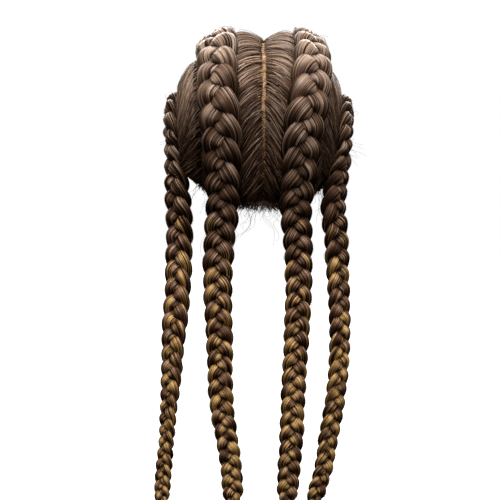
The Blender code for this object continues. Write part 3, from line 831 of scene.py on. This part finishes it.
# The centre parting wavers in slow waves: their size in degrees, how many degrees of the way back make up a
# radian, and where they start. It is narrower in front, opens fully from one back angle on, and closes from
# another; each takes this many degrees.
PARTING_WAVES = ((0.28, 8.0, 0.0), (0.16, 3.1, 1.0))
FRONT_OPENING = 0.45
PARTING_OPENS = 74
OPENS_WITHIN = 14
PARTING_CLOSES = 168
CLOSES_WITHIN = 36
OVERCLOSED = 1.15
# Combed hair ends under a plait, this share of the plait's half width from its middle line.
TUCK = 0.50
# The crown of the head, how far on each side of it the hair beside the centre parting is puffed, how flat the
# puff is on top, and how much of it there is at the root, within this share of the way to the plait.
CROWN_ANGLE = 88.0
CROWN_SPREAD = 32.0
CROWN_FLATNESS = 1.4
CROWN_AT_ROOT = 0.60
CROWN_ROOT = 0.03
# On its way to the plait combed hair is at its height after this share, and its rise is rounded by a power.
# Between an outer plait and its parting it rises sooner to most of its height, and slowly over the rest.
RISE_SHARE = 0.72
RISE_CURVE = 0.7
SOON_SHARE = 0.25
SOON_HEIGHT = 0.86
SOON_REST = 0.7
# On a plait's far side it goes up with this share of the padding under the plait.
PUFF_LIFT = 0.7
# It dips in under the plait from this share on, over the rest.
DIP_FROM = 0.74
DIP_OVER = 0.26
# Hair thins within this many degrees of the front hairline and the nape, down to a least share of its height.
THINNING_REACH = 11.0
EDGE_FULLNESS = 0.18
# How far below its peak the hair dips in under a plait, less the share of the padding that it goes up with.
DIP_HEIGHT = 0.0062
DIP_LIFT = 0.6


def centre_parting(plait, back_angles):
    """The side angle of one side of the centre parting: it wavers a little, and closes towards the nape."""
    waver = sum(size * np.sin(back_angles / pace + start) for size, pace, start in PARTING_WAVES)
    opening = HALF_PARTING * grow(FRONT_OPENING, (back_angles - PARTING_OPENS) / OPENS_WITHIN)
    closed = OVERCLOSED * HALF_PARTING * smoothstep((back_angles - PARTING_CLOSES) / CLOSES_WITHIN)
    return opening - closed + (waver - PARTING_SHIFT) * plait.hand


def flank_angles(plait, flank, back_angles, share):
    """Side angles at a share of the way from the roots to the tucked-in ends, to one side of a plait."""
    parting = np.interp(back_angles, *np.array(SIDE_PARTING, float).T)
    middle, half_bed, _ = bed_angles(plait, back_angles)
    if flank == "low":
        root = centre_parting(plait, back_angles) if is_inner(plait) else parting - SIDE_OVERLAP
        end = middle - half_bed * TUCK
    else:
        root = parting - HALF_PARTING / 2 if is_inner(plait) else EAR_EDGE
        end = middle + half_bed * TUCK
    return root + (end - root) * share


def flank_sweep(plait, flank, back_angles):
    """How far back locks with their roots here sweep."""
    column = ("inner_" if is_inner(plait) else "outer_") + flank
    return np.interp(back_angles, *np.array([(stop.back_angle, getattr(stop, column)) for stop in SWEEP]).T)


def edge_thinning(side_angles, back_angles, least, reach):
    """How full the hair is near the front hairline and the nape, from the least at the edge to 1."""
    front, back = edge_angles(side_angles)
    return grow(least, np.minimum(back_angles - front, back - back_angles) / reach)


def combed_height(plait, flank, share, side_angles, back_angles, settings):
    """Height of combed hair over the hollow: it rises from its root and dips in under the plait."""
    _, _, lift = bed_angles(plait, back_angles)
    peak = plait.side_hair if flank == "low" else settings.puff + lift * PUFF_LIFT
    root = plait.root_hair if flank == "low" else settings.root_height
    rounded = smoothstep(share / RISE_SHARE) ** RISE_CURVE
    if flank == "low" and is_inner(plait):
        near_crown = CROWN_FLATNESS - np.abs(back_angles - CROWN_ANGLE) / CROWN_SPREAD
        crown = settings.crown_puff * smoothstep(near_crown)
        peak = peak + crown
        root = root + CROWN_AT_ROOT * crown * smoothstep(share / CROWN_ROOT)
    elif flank == "low":
        rounded = np.sqrt(1 - (1 - np.clip(share / SOON_SHARE, 0, 1)) ** 2)
        rounded = rounded * grow(SOON_HEIGHT, share / SOON_REST)
    rise = root + (peak - root) * rounded
    dip = (peak - DIP_HEIGHT - lift * DIP_LIFT) * smoothstep((share - DIP_FROM) / DIP_OVER)
    return CAP_WALL + (rise - dip) * edge_thinning(side_angles, back_angles, EDGE_FULLNESS, THINNING_REACH)


# What sets the locks on one side of a plait apart: the back angle of the first root, how their sweep bows,
# how far they waver, how their streaks run on, how much light their roots keep under painted shade, how much
# lighter they are on the upper head, and what is added to their roots' gold and tone.
FlankLook = namedtuple("FlankLook", "first_root bow swing pace root_light top_tone root_gold root_tone")
FLANK_LOOKS = {
    (True, "low"): FlankLook(0.0, 1.25, 0.35, 2.0, 0.78, 0.0, 0.35, 0.12),
    (True, "high"): FlankLook(0.0, 1.25, 0.35, 2.0, 0.85, 0.0, 0.0, 0.0),
    (False, "low"): FlankLook(0.0, 0.95, 0.90, 1.5, 0.85, 0.16, 0.0, 0.0),
    (False, "high"): FlankLook(-40.0, 1.25, 0.35, 1.5, 0.85, 0.0, 0.0, 0.0),
}
# The back angle of the last root, and a power that sets the roots closer together towards the nape.
LAST_ROOT = 221.0
ROOT_SPREAD = 0.78
# Scatter of the roots in degrees, of the sweep as a share of it, and of its bow.
ROOT_SCATTER = 0.5
SWEEP_SCATTER = 0.14
BOW_SCATTER = 0.12
# Points at which a lock is tested against the hairline, and how many of them a lock needs to be kept.
TEST_POINTS = 48
LEAST_INSIDE = 10
# Degrees behind the front hairline at which locks start, and between which they end at the nape.
FRONT_MARGIN = 1.0
RAGGED_NAPE = (-2.6, 0.8)
# Degrees by which a lock's root strays at the parting: the most, how much less, and a power for the spread.
CROSSING = 0.40
CROSSING_RANGE = 1.9
CROSSING_POWER = 1.6
# Locks lie this much above and below one another, in clumps that follow two waves over the head.
LOCK_LIFT = 0.0004
CLUMP_WAVES = (0.9, 0.37)
CLUMP_LIFT = 0.4
CLUMP_TONE = 0.025
# Least and most size of a lock, and the shares of its size that are left at its root and at the hairline.
LOCK_SIZES = (0.65, 1.3)
ROOT_SIZE = 0.35
HAIRLINE_SIZE = 0.5
# Tone and gold of a lock, each with its scatter; its painted light, how much more painted light its lift
# adds, and how much painted shade it gets where it is tucked in under the plait.
COMBED_TONE = (0.05, 0.11)
COMBED_GOLD = (0.10, 0.06)
COMBED_OPENNESS = 0.80
LIFT_OPENNESS = 0.133
TUCKED_SHADE = 0.75
# The share of a lock that counts as its root.
ROOT_SHARE = 0.12
# The streaks' noise is read somewhere in this many millimetres.
NOISE_REACH = 200


def add_flank(heap, plait, flank, settings, draws):
    """Locks combed from a parting or the hairline to one side of a plait."""
    look = FLANK_LOOKS[is_inner(plait), flank]
    locks = settings.locks
    roots = look.first_root + (LAST_ROOT - look.first_root) * np.linspace(0, 1, locks) ** ROOT_SPREAD
    roots = roots + draws.normal(0, ROOT_SCATTER, locks)
    sweep = flank_sweep(plait, flank, roots) * draws.normal(1, SWEEP_SCATTER, locks)
    roots, sweep = roots[:, None], sweep[:, None]
    share = np.linspace(0, 1, TEST_POINTS)[None, :]
    bow = draws.normal(look.bow, BOW_SCATTER, locks)[:, None]
    backs = roots + sweep * share**bow
    front, back = edge_angles(flank_angles(plait, flank, backs, share))
    inside = (backs > front + FRONT_MARGIN) & (backs < back - draws.uniform(*RAGGED_NAPE, (locks, 1)))
    kept = inside.sum(1) >= LEAST_INSIDE
    low = np.argmax(inside, axis=1)[kept, None] / (TEST_POINTS - 1)
    high = 1 - np.argmax(inside[:, ::-1], axis=1)[kept, None] / (TEST_POINTS - 1)
    roots, sweep, bow = roots[kept], sweep[kept], bow[kept]
    each = roots.shape
    share = low + (high - low) * np.linspace(0, 1, settings.lock_points)
    backs = roots + sweep * share**bow
    waver = draws.normal(0, look.swing, each) * np.sin(share * np.pi * 1.5 + draws.uniform(0, 6, each))
    crossing = CROSSING - CROSSING_RANGE * draws.uniform(0, 1, each) ** CROSSING_POWER
    sides = flank_angles(plait, flank, backs, share) + waver + crossing * (1 - share) ** 5
    clump = sum(np.sin(roots * waves + draws.uniform(0, 6)) for waves in CLUMP_WAVES)
    lift = (draws.uniform(-1, 1, each) + CLUMP_LIFT * clump) * LOCK_LIFT * np.minimum(share * 4, 1)
    heights = combed_height(plait, flank, share, sides, backs, settings)
    paths, ups = scalp(plait.hand * sides, backs, heights + lift)
    height = paths[..., 2]
    size = draws.uniform(*LOCK_SIZES, each) * grow(ROOT_SIZE, share / 0.30)
    size = size * edge_thinning(sides, backs, HAIRLINE_SIZE, 6.0)
    first, second = draws.uniform(0, NOISE_REACH, each), draws.uniform(0, NOISE_REACH, each)
    runs = streak_run(first, second, share * look.pace)
    at_root = 1 - smoothstep(share / ROOT_SHARE)
    tones = draws.normal(0, COMBED_TONE[1], each) + CLUMP_TONE * clump + by_height(HEAD_SHADE, height)
    tones = tones + COMBED_TONE[0] + look.top_tone * smoothstep((height + 0.12) / 0.07)
    tones = tones + look.root_tone * at_root
    # Painted light of a lock: painted shade where it tucks in under the plait, at its root and towards the
    # nape; raised locks get more painted light.
    tucked = 1 - TUCKED_SHADE * smoothstep((share - 0.70) / 0.25)
    opens = np.clip(tucked * (COMBED_OPENNESS + lift / LOCK_LIFT * LIFT_OPENNESS), 0, 1)
    opens = opens * grow(look.root_light, share / ROOT_SHARE) * by_height(COMBED_LIGHT, height)
    golds = COMBED_GOLD[0] + draws.normal(0, COMBED_GOLD[1], each) + look.root_gold * at_root
    breadths, depths = settings.half_breadth * size, settings.half_depth * size
    heap.tubes(paths, ups, breadths, depths, settings.lock_sides, runs, tones, golds, opens)


# The layer under the locks: its rows and columns, how far it lies below the locks, how far in from the
# hairline in degrees, its tone, gold and painted light, low as painted shade under the locks, and a side
# angle within an inner and an outer section.
UNDER_ROWS = 84
UNDER_COLUMNS = 15
UNDER_DROP = 0.0007
NAPE_INSET = 1.2
UNDER_TONE = -0.08
UNDER_GOLD = 0.06
UNDER_LIGHT = 0.35
INNER_MIDDLE = 24.0
OUTER_MIDDLE = 62.0


def add_underlay(heap, plait, settings):
    """The closed layer of hair under the locks of a section, from parting to parting."""
    share = np.linspace(0, 1, UNDER_COLUMNS)
    along = np.linspace(0, 1, UNDER_ROWS)[:, None]
    sheets = []
    for flank in ("low", "high"):
        front, back = edge_angles(np.full((1, 1), INNER_MIDDLE if is_inner(plait) else OUTER_MIDDLE))
        backs = front + (back - front) * along + np.zeros_like(share)
        for _ in range(3):
            sides = flank_angles(plait, flank, backs, share)
            front, back = edge_angles(sides)
            backs = front + NAPE_INSET + (back - front - 1.5 * NAPE_INSET) * along
        heights = combed_height(plait, flank, share, sides, backs, settings) - UNDER_DROP
        sheets.append((sides, backs, np.maximum(heights, CAP_WALL + 0.0004)))
    sides, backs, heights = (np.concatenate([low, high[:, ::-1]], axis=1) for low, high in zip(*sheets))
    top, _ = scalp(plait.hand * sides, backs, heights)
    bottom, _ = scalp(plait.hand * sides, backs, np.full_like(heights, CAP_WALL + 0.0001))
    rows, columns = sides.shape
    ring = np.concatenate([top, bottom[:, ::-1]], axis=1)
    run = streak_run(backs * 1.7, sides * 0.1, sides * 0.1)
    run = np.concatenate([run, run[:, ::-1]], axis=1)
    faces = tube_faces(rows, 2 * columns, heap.count, flip=plait.hand > 0)
    tone = by_height(HEAD_SHADE, ring[..., 2]) + UNDER_TONE
    heap.add(ring, faces, run, tone, UNDER_GOLD, UNDER_LIGHT)


def make_section(plait, settings, material):
    """The hair combed to one plait: locks on both sides of it over a closed underlay."""
    heap = Heap()
    draws = np.random.default_rng(plait.seed)
    add_underlay(heap, plait, settings)
    for flank in ("low", "high"):
        add_flank(heap, plait, flank, settings, draws)
    return heap.piece(f"combed_{plait.name}", material)


# A loose hair: its share of thickness at its ends, its least and most thickness, its openness to the light
# and how its streaks run on.
HAIR_TAPER = 0.45
HAIR_SIZES = (0.7, 1.25)
HAIR_OPENNESS = 0.9
HAIR_PACE = 1.5


def hair_tubes(heap, paths, radius, tones, golds, draws):
    """Single loose hairs along paths, which taper at both ends."""
    count, rings, _ = paths.shape
    share = np.linspace(0, 1, rings)[None, :]
    taper = HAIR_TAPER + (1 - HAIR_TAPER) * np.sin(np.pi * np.clip(share * 0.9 + 0.1, 0, 1)) ** 0.5
    radii = radius * taper * draws.uniform(*HAIR_SIZES, (count, 1))
    first, second = np.moveaxis(draws.uniform(0, NOISE_REACH, (count, 1, 2)), -1, 0)
    ups = np.broadcast_to(unit(draws.normal(0, 1, (count, 1, 3))), paths.shape)
    runs = streak_run(first, second, share * HAIR_PACE)
    heap.tubes(paths, ups, radii, radii, 3, runs, tones, golds, HAIR_OPENNESS)


# Loose hairs over a plait: their points, how many turns of the weave they follow, how far they lie above
# their strand and stand off it, which share of them flies off at its tip, and by how much.
SLIP_POINTS = 16
SLIP_TURNS = (0.25, 0.8)
SLIP_HEIGHT = 0.0003
SLIP_STAND = 0.0012
FLYING = 0.14
FLY_HEIGHT = 0.004
# The brush at a plait's end: points of a hair, how much of the tuft's length it has, its spread at the band
# and how much it flares, its thickness in loose hairs, and its gold.
BRUSH_POINTS = 7
BRUSH_REACH = (0.55, 1.0)
BRUSH_SPREAD = 0.42
BRUSH_FLARE = 0.20
BRUSH_THICKNESS = 1.6
BRUSH_GOLD = 0.44


def make_plait_hairs(way, strands, settings, material):
    """Loose hairs over one plait: some slip along its strands, some stand off it, and a brush ends it."""
    plait = way.plait
    draws = np.random.default_rng(plait.seed * 7)
    heap = Heap()
    each = (settings.per_plait, 1)
    share = np.linspace(0, 1, SLIP_POINTS)[None, :]
    strand = draws.integers(0, len(STRANDS), each)
    start = draws.uniform(0, way.turns[-1] - 1.0, each)
    turn = start + draws.uniform(*SLIP_TURNS, each) * share
    angle = draws.uniform(0, 2 * np.pi, each) + draws.normal(0, 0.5, each) * (turn - start)
    side, depth, ahead = strand_corners(strands, strand_phase(turn, strand), angle, 1.03)
    paths = along_way(way, turn + ahead, side, depth)
    out = unit(paths - along_way(way, turn))
    stand = np.abs(draws.normal(0, SLIP_STAND, each)) * share**2
    fly = (draws.uniform(0, 1, each) > 1 - FLYING) * share**3 * FLY_HEIGHT
    paths = paths + out * (stand + fly + SLIP_HEIGHT)[..., None]
    golds = by_height(GOLD, paths[..., 2]) + 0.05
    hair_tubes(heap, paths, settings.radius, draws.normal(0.05, 0.12, each), golds, draws)
    each = (settings.per_tuft, 1)
    spread = draws.normal(0, 1, (*each, 2))
    spread /= np.maximum(np.linalg.norm(spread, axis=-1, keepdims=True), 1.0) * 1.05
    share = np.linspace(0, 1, BRUSH_POINTS)[None, :]
    from_end = TUFT_LENGTH * (1 - draws.uniform(*BRUSH_REACH, each) * share)
    turn = np.interp(way.distances[-1] - from_end, way.distances, way.turns)
    flare = BRUSH_SPREAD + BRUSH_FLARE * share
    paths = along_way(way, turn, spread[..., 0] * flare, spread[..., 1] * flare)
    tones = draws.normal(0, 0.1, each)
    hair_tubes(heap, paths, settings.radius * BRUSH_THICKNESS, tones, BRUSH_GOLD, draws)
    return heap.piece(f"loose_hairs_{plait.name}", material)


# Loose hairs over the combed ones: their points, between which back angles they root, how far they lie above
# the locks, and how far they arch over them.
OVER_POINTS = 12
OVER_ROOTS = (45.0, 192.0)
OVER_HEIGHT = 0.0007
OVER_ARCH = 0.0010


def make_section_hairs(plait, combed, settings, material):
    """Loose hairs that lie over the locks of one section."""
    draws = np.random.default_rng(plait.seed * 13)
    heap = Heap()
    for flank in ("low", "high"):
        count = settings.per_section // 2
        roots = draws.uniform(*OVER_ROOTS, (count, 1))
        share = np.linspace(0.02, draws.uniform(0.55, 0.95, count), OVER_POINTS).T
        backs = roots + flank_sweep(plait, flank, roots) * draws.normal(1, 0.35, (count, 1)) * share**1.3
        sides = flank_angles(plait, flank, backs, share)
        heights = combed_height(plait, flank, share, sides, backs, combed) + OVER_HEIGHT
        heights = heights + np.abs(draws.normal(0, OVER_ARCH, (count, 1))) * np.sin(np.pi * share)
        paths, _ = scalp(plait.hand * sides, backs, heights)
        tones = draws.normal(0.08, 0.12, (count, 1)) + by_height(HEAD_SHADE, paths[..., 2])
        hair_tubes(heap, paths, settings.radius, tones, 0.12, draws)
    return heap.piece(f"loose_hairs_on_{plait.name}", material)


# Baby hairs: how high they root over the hollow, how their heading scatters, the least and most of their
# length, their turns and their curl, the curl's depth as a share of its breadth, how far they rise towards
# their tips, and their thickness in loose hairs.
BABY_ROOT = CAP_WALL + 0.0012
BABY_SCATTER = 0.22
BABY_LENGTHS = (0.45, 1.2)
BABY_TURNS = (0.5, 1.6)
BABY_CURLS = (0.3, 1.3)
BABY_FLATNESS = 0.6
BABY_RISE = 0.0015
BABY_THICKNESS = 0.8


def make_baby_hairs(settings, material):
    """Baby hairs at the nape and curly wisps beside the plaits."""
    draws = np.random.default_rng(5)
    heap = Heap()
    for wisp in WISPS:
        along = np.linspace(0, 1, wisp.points)[None, :]
        each = (wisp.count, 1)
        sides = draws.uniform(wisp.side_from, wisp.side_to, wisp.count)
        backs = draws.uniform(wisp.back_from, wisp.back_to, wisp.count)
        _, edge = edge_angles(sides)
        roots, normals = scalp(sides, np.minimum(backs, edge - 0.5), BABY_ROOT)
        down = np.array([wisp.lean_side, wisp.lean_back, -1.0])
        heading = unit(down + draws.normal(0, BABY_SCATTER, (wisp.count, 3)))
        length = wisp.length * draws.uniform(*BABY_LENGTHS, each)
        turns = draws.uniform(*BABY_TURNS, each) * 2 * np.pi
        start = draws.uniform(0, 2 * np.pi, each)
        curl = wisp.curl * draws.uniform(*BABY_CURLS, each) * along
        wave = curl * (np.sin(start + turns * along) - np.sin(start))
        sway = curl * (np.cos(start + turns * along) - np.cos(start)) * BABY_FLATNESS
        across = unit(np.cross(heading, normals))
        paths = roots[:, None] + heading[:, None] * (length * along)[..., None]
        paths = paths + across[:, None] * wave[..., None]
        paths = paths + normals[:, None] * (sway + BABY_RISE * along)[..., None]
        tones = draws.normal(-0.05, 0.08, each)
        hair_tubes(heap, paths, settings.radius * BABY_THICKNESS, tones, 0.0, draws)
    return heap.piece("baby_hairs", material)


def deselect():
    bpy.ops.object.select_all(action="DESELECT")


class WIG_OT_net_cap(bpy.types.Operator):
    """Makes the lace cap: a fine open dome that is notched over each ear"""

    bl_idname = "wig.net_cap"
    bl_label = "Net Cap"

    def execute(self, context):
        deselect()
        bpy.ops.mesh.primitive_grid_add(x_subdivisions=72, y_subdivisions=64, size=2)
        cap = context.active_object
        cap.name = cap.data.name = "lace_cap"
        flat = np.zeros(len(cap.data.vertices) * 3)
        cap.data.vertices.foreach_get("co", flat)
        flat = flat.reshape(-1, 3)
        sides = flat[:, 0] * CAP_EDGE[-1].side_angle
        front, back = edge_angles(sides)
        backs = front + (back - NAPE_INSET - front) * (flat[:, 1] + 1) / 2
        points, _ = scalp(sides, backs, 0.0)
        cap.data.vertices.foreach_set("co", points.ravel())
        cap.data.update()
        centre = Vector((0, 0, -CROWN_HEIGHT))
        facing = sum(face.normal.dot(face.center - centre) for face in cap.data.polygons)
        wall = cap.modifiers.new("wall", "SOLIDIFY")
        wall.thickness = CAP_WALL * 0.8
        wall.offset = 1.0 if facing > 0 else -1.0
        bpy.ops.object.modifier_apply(modifier="wall")
        bpy.ops.object.mode_set(mode="EDIT")
        bpy.ops.mesh.select_all(action="SELECT")
        bpy.ops.mesh.normals_make_consistent(inside=False)
        bpy.ops.object.mode_set(mode="OBJECT")
        layer = cap.data.attributes.new("lace_inside", "FLOAT", "POINT")
        inside = [float(vertex.normal.dot(centre - vertex.co) > 0) for vertex in cap.data.vertices]
        layer.data.foreach_set("value", inside)
        bpy.ops.object.shade_smooth_by_angle(angle=math.radians(50))
        cap.data.materials.append(shared_material("cap_lace"))
        dress(cap, "lace_net", "net_cap")
        return {"FINISHED"}


class WIG_OT_combed_hair(bpy.types.Operator):
    """Combs the hair from the partings and the hairline to each plait"""

    bl_idname = "wig.combed_hair"
    bl_label = "Combed Hair"

    def execute(self, context):
        scene = context.scene
        material = shared_material("combed_hair")
        for plait in PLAITS:
            section = make_section(plait, scene.wig_combed, material)
            dress(section, "scalp_hair", f"hair_section_{plait.name}")
            dress(make_section_hairs(plait, scene.wig_combed, scene.wig_loose, material), "scalp_hair")
        return {"FINISHED"}


class WIG_OT_plaited_strands(bpy.types.Operator):
    """Plaits three strands for each plait, and lays loose hairs over them"""

    bl_idname = "wig.plaited_strands"
    bl_label = "Plaited Strands"

    def execute(self, context):
        scene = context.scene
        material = shared_material("plaited_hair")
        for plait in PLAITS:
            way = plait_way(plait)
            for strand, letter in enumerate(STRANDS):
                piece = make_strand(way, strand, scene.wig_strands, material)
                dress(piece, "plait_hair", f"braid_{plait.name}_strand_{letter}")
            dress(make_plait_hairs(way, scene.wig_strands, scene.wig_loose, material), "plait_hair")
        return {"FINISHED"}


# The wraps of a band: the middle one's radius, how much narrower the others are, half the elastic's
# thickness, and the distance from one wrap to the next.
BAND_RADIUS = 0.62 * TIE_GRIP
BAND_NARROWING = 0.0002
BAND_THREAD = 0.0010
BAND_PITCH = 0.0013


class WIG_OT_end_bands(bpy.types.Operator):
    """Winds a covered elastic round each plait above its tuft"""

    bl_idname = "wig.end_bands"
    bl_label = "End Bands"

    def execute(self, context):
        material = shared_material("covered_elastic")
        for plait in PLAITS:
            way = plait_way(plait)
            turn = np.interp(way.distances[-1] - TUFT_LENGTH, way.distances, way.turns)
            middle = Vector(along_way(way, turn))
            axis = Vector([np.interp(turn, way.turns, column) for column in way.alongs.T]).normalized()
            wraps = []
            for wrap in (-1, 0, 1):
                deselect()
                slant = axis + Vector((0.06 * wrap, -0.05 * wrap, 0))
                bpy.ops.mesh.primitive_torus_add(
                    major_segments=40,
                    minor_segments=10,
                    major_radius=BAND_RADIUS - BAND_NARROWING * abs(wrap),
                    minor_radius=BAND_THREAD,
                    location=middle + axis * wrap * BAND_PITCH,
                    rotation=slant.to_track_quat("Z", "Y").to_euler(),
                )
                wraps.append(context.active_object)
            for wrap in wraps:
                wrap.select_set(True)
            bpy.ops.object.join()
            bpy.ops.object.transform_apply(location=True, rotation=True, scale=True)
            bpy.ops.object.shade_smooth()
            band = context.active_object
            band.name = band.data.name = f"wound_band_{plait.name}"
            band.data.materials.append(material)
            dress(band, "end_band", f"end_tie_{plait.name}")
        return {"FINISHED"}


class WIG_OT_baby_hairs(bpy.types.Operator):
    """Grows baby hairs at the nape and wisps beside the plaits"""

    bl_idname = "wig.baby_hairs"
    bl_label = "Baby Hairs"

    def execute(self, context):
        piece = make_baby_hairs(context.scene.wig_loose, shared_material("combed_hair"))
        dress(piece, "scalp_hair")
        return {"FINISHED"}


WHITE = (1.0, 1.0, 1.0, 1.0)
# A soft light: where it stands, where it points, its size in metres and its power in watts.
Light = namedtuple("Light", "name place aim size power")
LIGHTS = (
    Light("crown_softbox", (0.10, 0.75, 1.15), (0.0, 0.05, -0.05), 0.9, 34.0),
    Light("left_softbox", (1.70, 1.70, 0.30), (0.0, 0.0, -0.22), 0.8, 34.0),
    Light("right_softbox", (-1.70, 1.60, 0.45), (0.0, 0.0, -0.22), 0.8, 42.0),
    Light("face_softbox", (0.0, -2.0, 0.9), (0.0, 0.0, -0.20), 2.2, 100.0),
)


class WIG_OT_stage(bpy.types.Operator):
    """Sets the pale floor, the soft lights, the white surround and the camera"""

    bl_idname = "wig.stage"
    bl_label = "Stage"

    def execute(self, context):
        scene = context.scene
        settings = scene.wig_stage
        deselect()
        bpy.ops.mesh.primitive_plane_add(size=600, location=(0, 0, CAD_BOUNDS[0][2] - settings.floor_drop))
        floor = context.active_object
        floor.name = "pale_floor"
        bpy.ops.object.transform_apply(location=True, rotation=True, scale=True)
        nodes = Nodes(bpy.data.materials.new("pale_floor"))
        looks = {"Base Color": (0.97, 0.97, 0.97, 1.0), "Roughness": 0.9, "Specular IOR Level": 0.1}
        nodes.fill(nodes.shader, {**looks, "Emission Color": WHITE, "Emission Strength": 0.25})
        floor.data.materials.append(nodes.owner)
        floor.visible_diffuse = False
        floor.visible_glossy = False
        for light in LIGHTS:
            aim = Vector(light.aim) - Vector(light.place)
            turned = aim.to_track_quat("-Z", "Y").to_euler()
            bpy.ops.object.light_add(type="AREA", location=light.place, rotation=turned)
            lamp = context.active_object
            lamp.name = light.name
            lamp.data.size = light.size
            lamp.data.energy = light.power
        bpy.ops.object.light_add(type="SUN", location=(0, 0.3, 2), rotation=(math.radians(-14), 0, 0))
        overhead = context.active_object
        overhead.name = "overhead_scrim"
        overhead.data.energy = settings.overhead
        overhead.data.angle = math.radians(60)
        surround = Nodes(bpy.data.worlds.new("white_surround"))
        seen = surround.add("ShaderNodeLightPath").outputs["Is Camera Ray"]
        strength = surround.span(seen, 0.0, 1.0, settings.surround)
        surround.fill(surround.shader, {"Color": WHITE, "Strength": strength})
        scene.world = surround.owner
        scene.view_settings.view_transform = "Standard"
        place = Vector(settings.centre) + Vector((0, settings.distance, 0))
        bpy.ops.object.camera_add(location=place, rotation=(math.pi / 2, 0, math.pi))
        camera = context.active_object
        camera.data.lens = camera.data.sensor_width * settings.distance / settings.view_width
        scene.camera = camera
        return {"FINISHED"}


class WIG_PT_panel(bpy.types.Panel):
    """Lists the steps that dress the wig"""

    bl_label = "Braid Wig"
    bl_idname = "WIG_PT_panel"
    bl_space_type = "VIEW_3D"
    bl_region_type = "UI"
    bl_category = "Wig"

    def draw(self, context):
        for operator in OPERATORS:
            self.layout.operator(operator.bl_idname)
        for group in SETTINGS:
            box = self.layout.box()
            settings = getattr(context.scene, group)
            for key in settings.bl_rna.properties.keys():
                if key not in ("rna_type", "name"):
                    box.prop(settings, key)


SETTINGS = {
    "wig_strands": StrandSettings,
    "wig_combed": CombedSettings,
    "wig_loose": LooseSettings,
    "wig_colours": HairColours,
    "wig_stage": StageSettings,
}
OPERATORS = (
    WIG_OT_stage,
    WIG_OT_net_cap,
    WIG_OT_combed_hair,
    WIG_OT_plaited_strands,
    WIG_OT_end_bands,
    WIG_OT_baby_hairs,
)


def register():
    for kind in (*SETTINGS.values(), *OPERATORS, WIG_PT_panel):
        bpy.utils.register_class(kind)
    for name, kind in SETTINGS.items():
        setattr(bpy.types.Scene, name, bpy.props.PointerProperty(type=kind))


def unregister():
    for name in SETTINGS:
        delattr(bpy.types.Scene, name)
    for kind in (WIG_PT_panel, *OPERATORS, *SETTINGS.values()):
        bpy.utils.unregister_class(kind)


def main():
    register()
    bpy.ops.wig.stage()
    bpy.ops.wig.net_cap()
    bpy.ops.wig.combed_hair()
    bpy.ops.wig.plaited_strands()
    bpy.ops.wig.end_bands()
    bpy.ops.wig.baby_hairs()


if __name__ == "__main__":
    main()
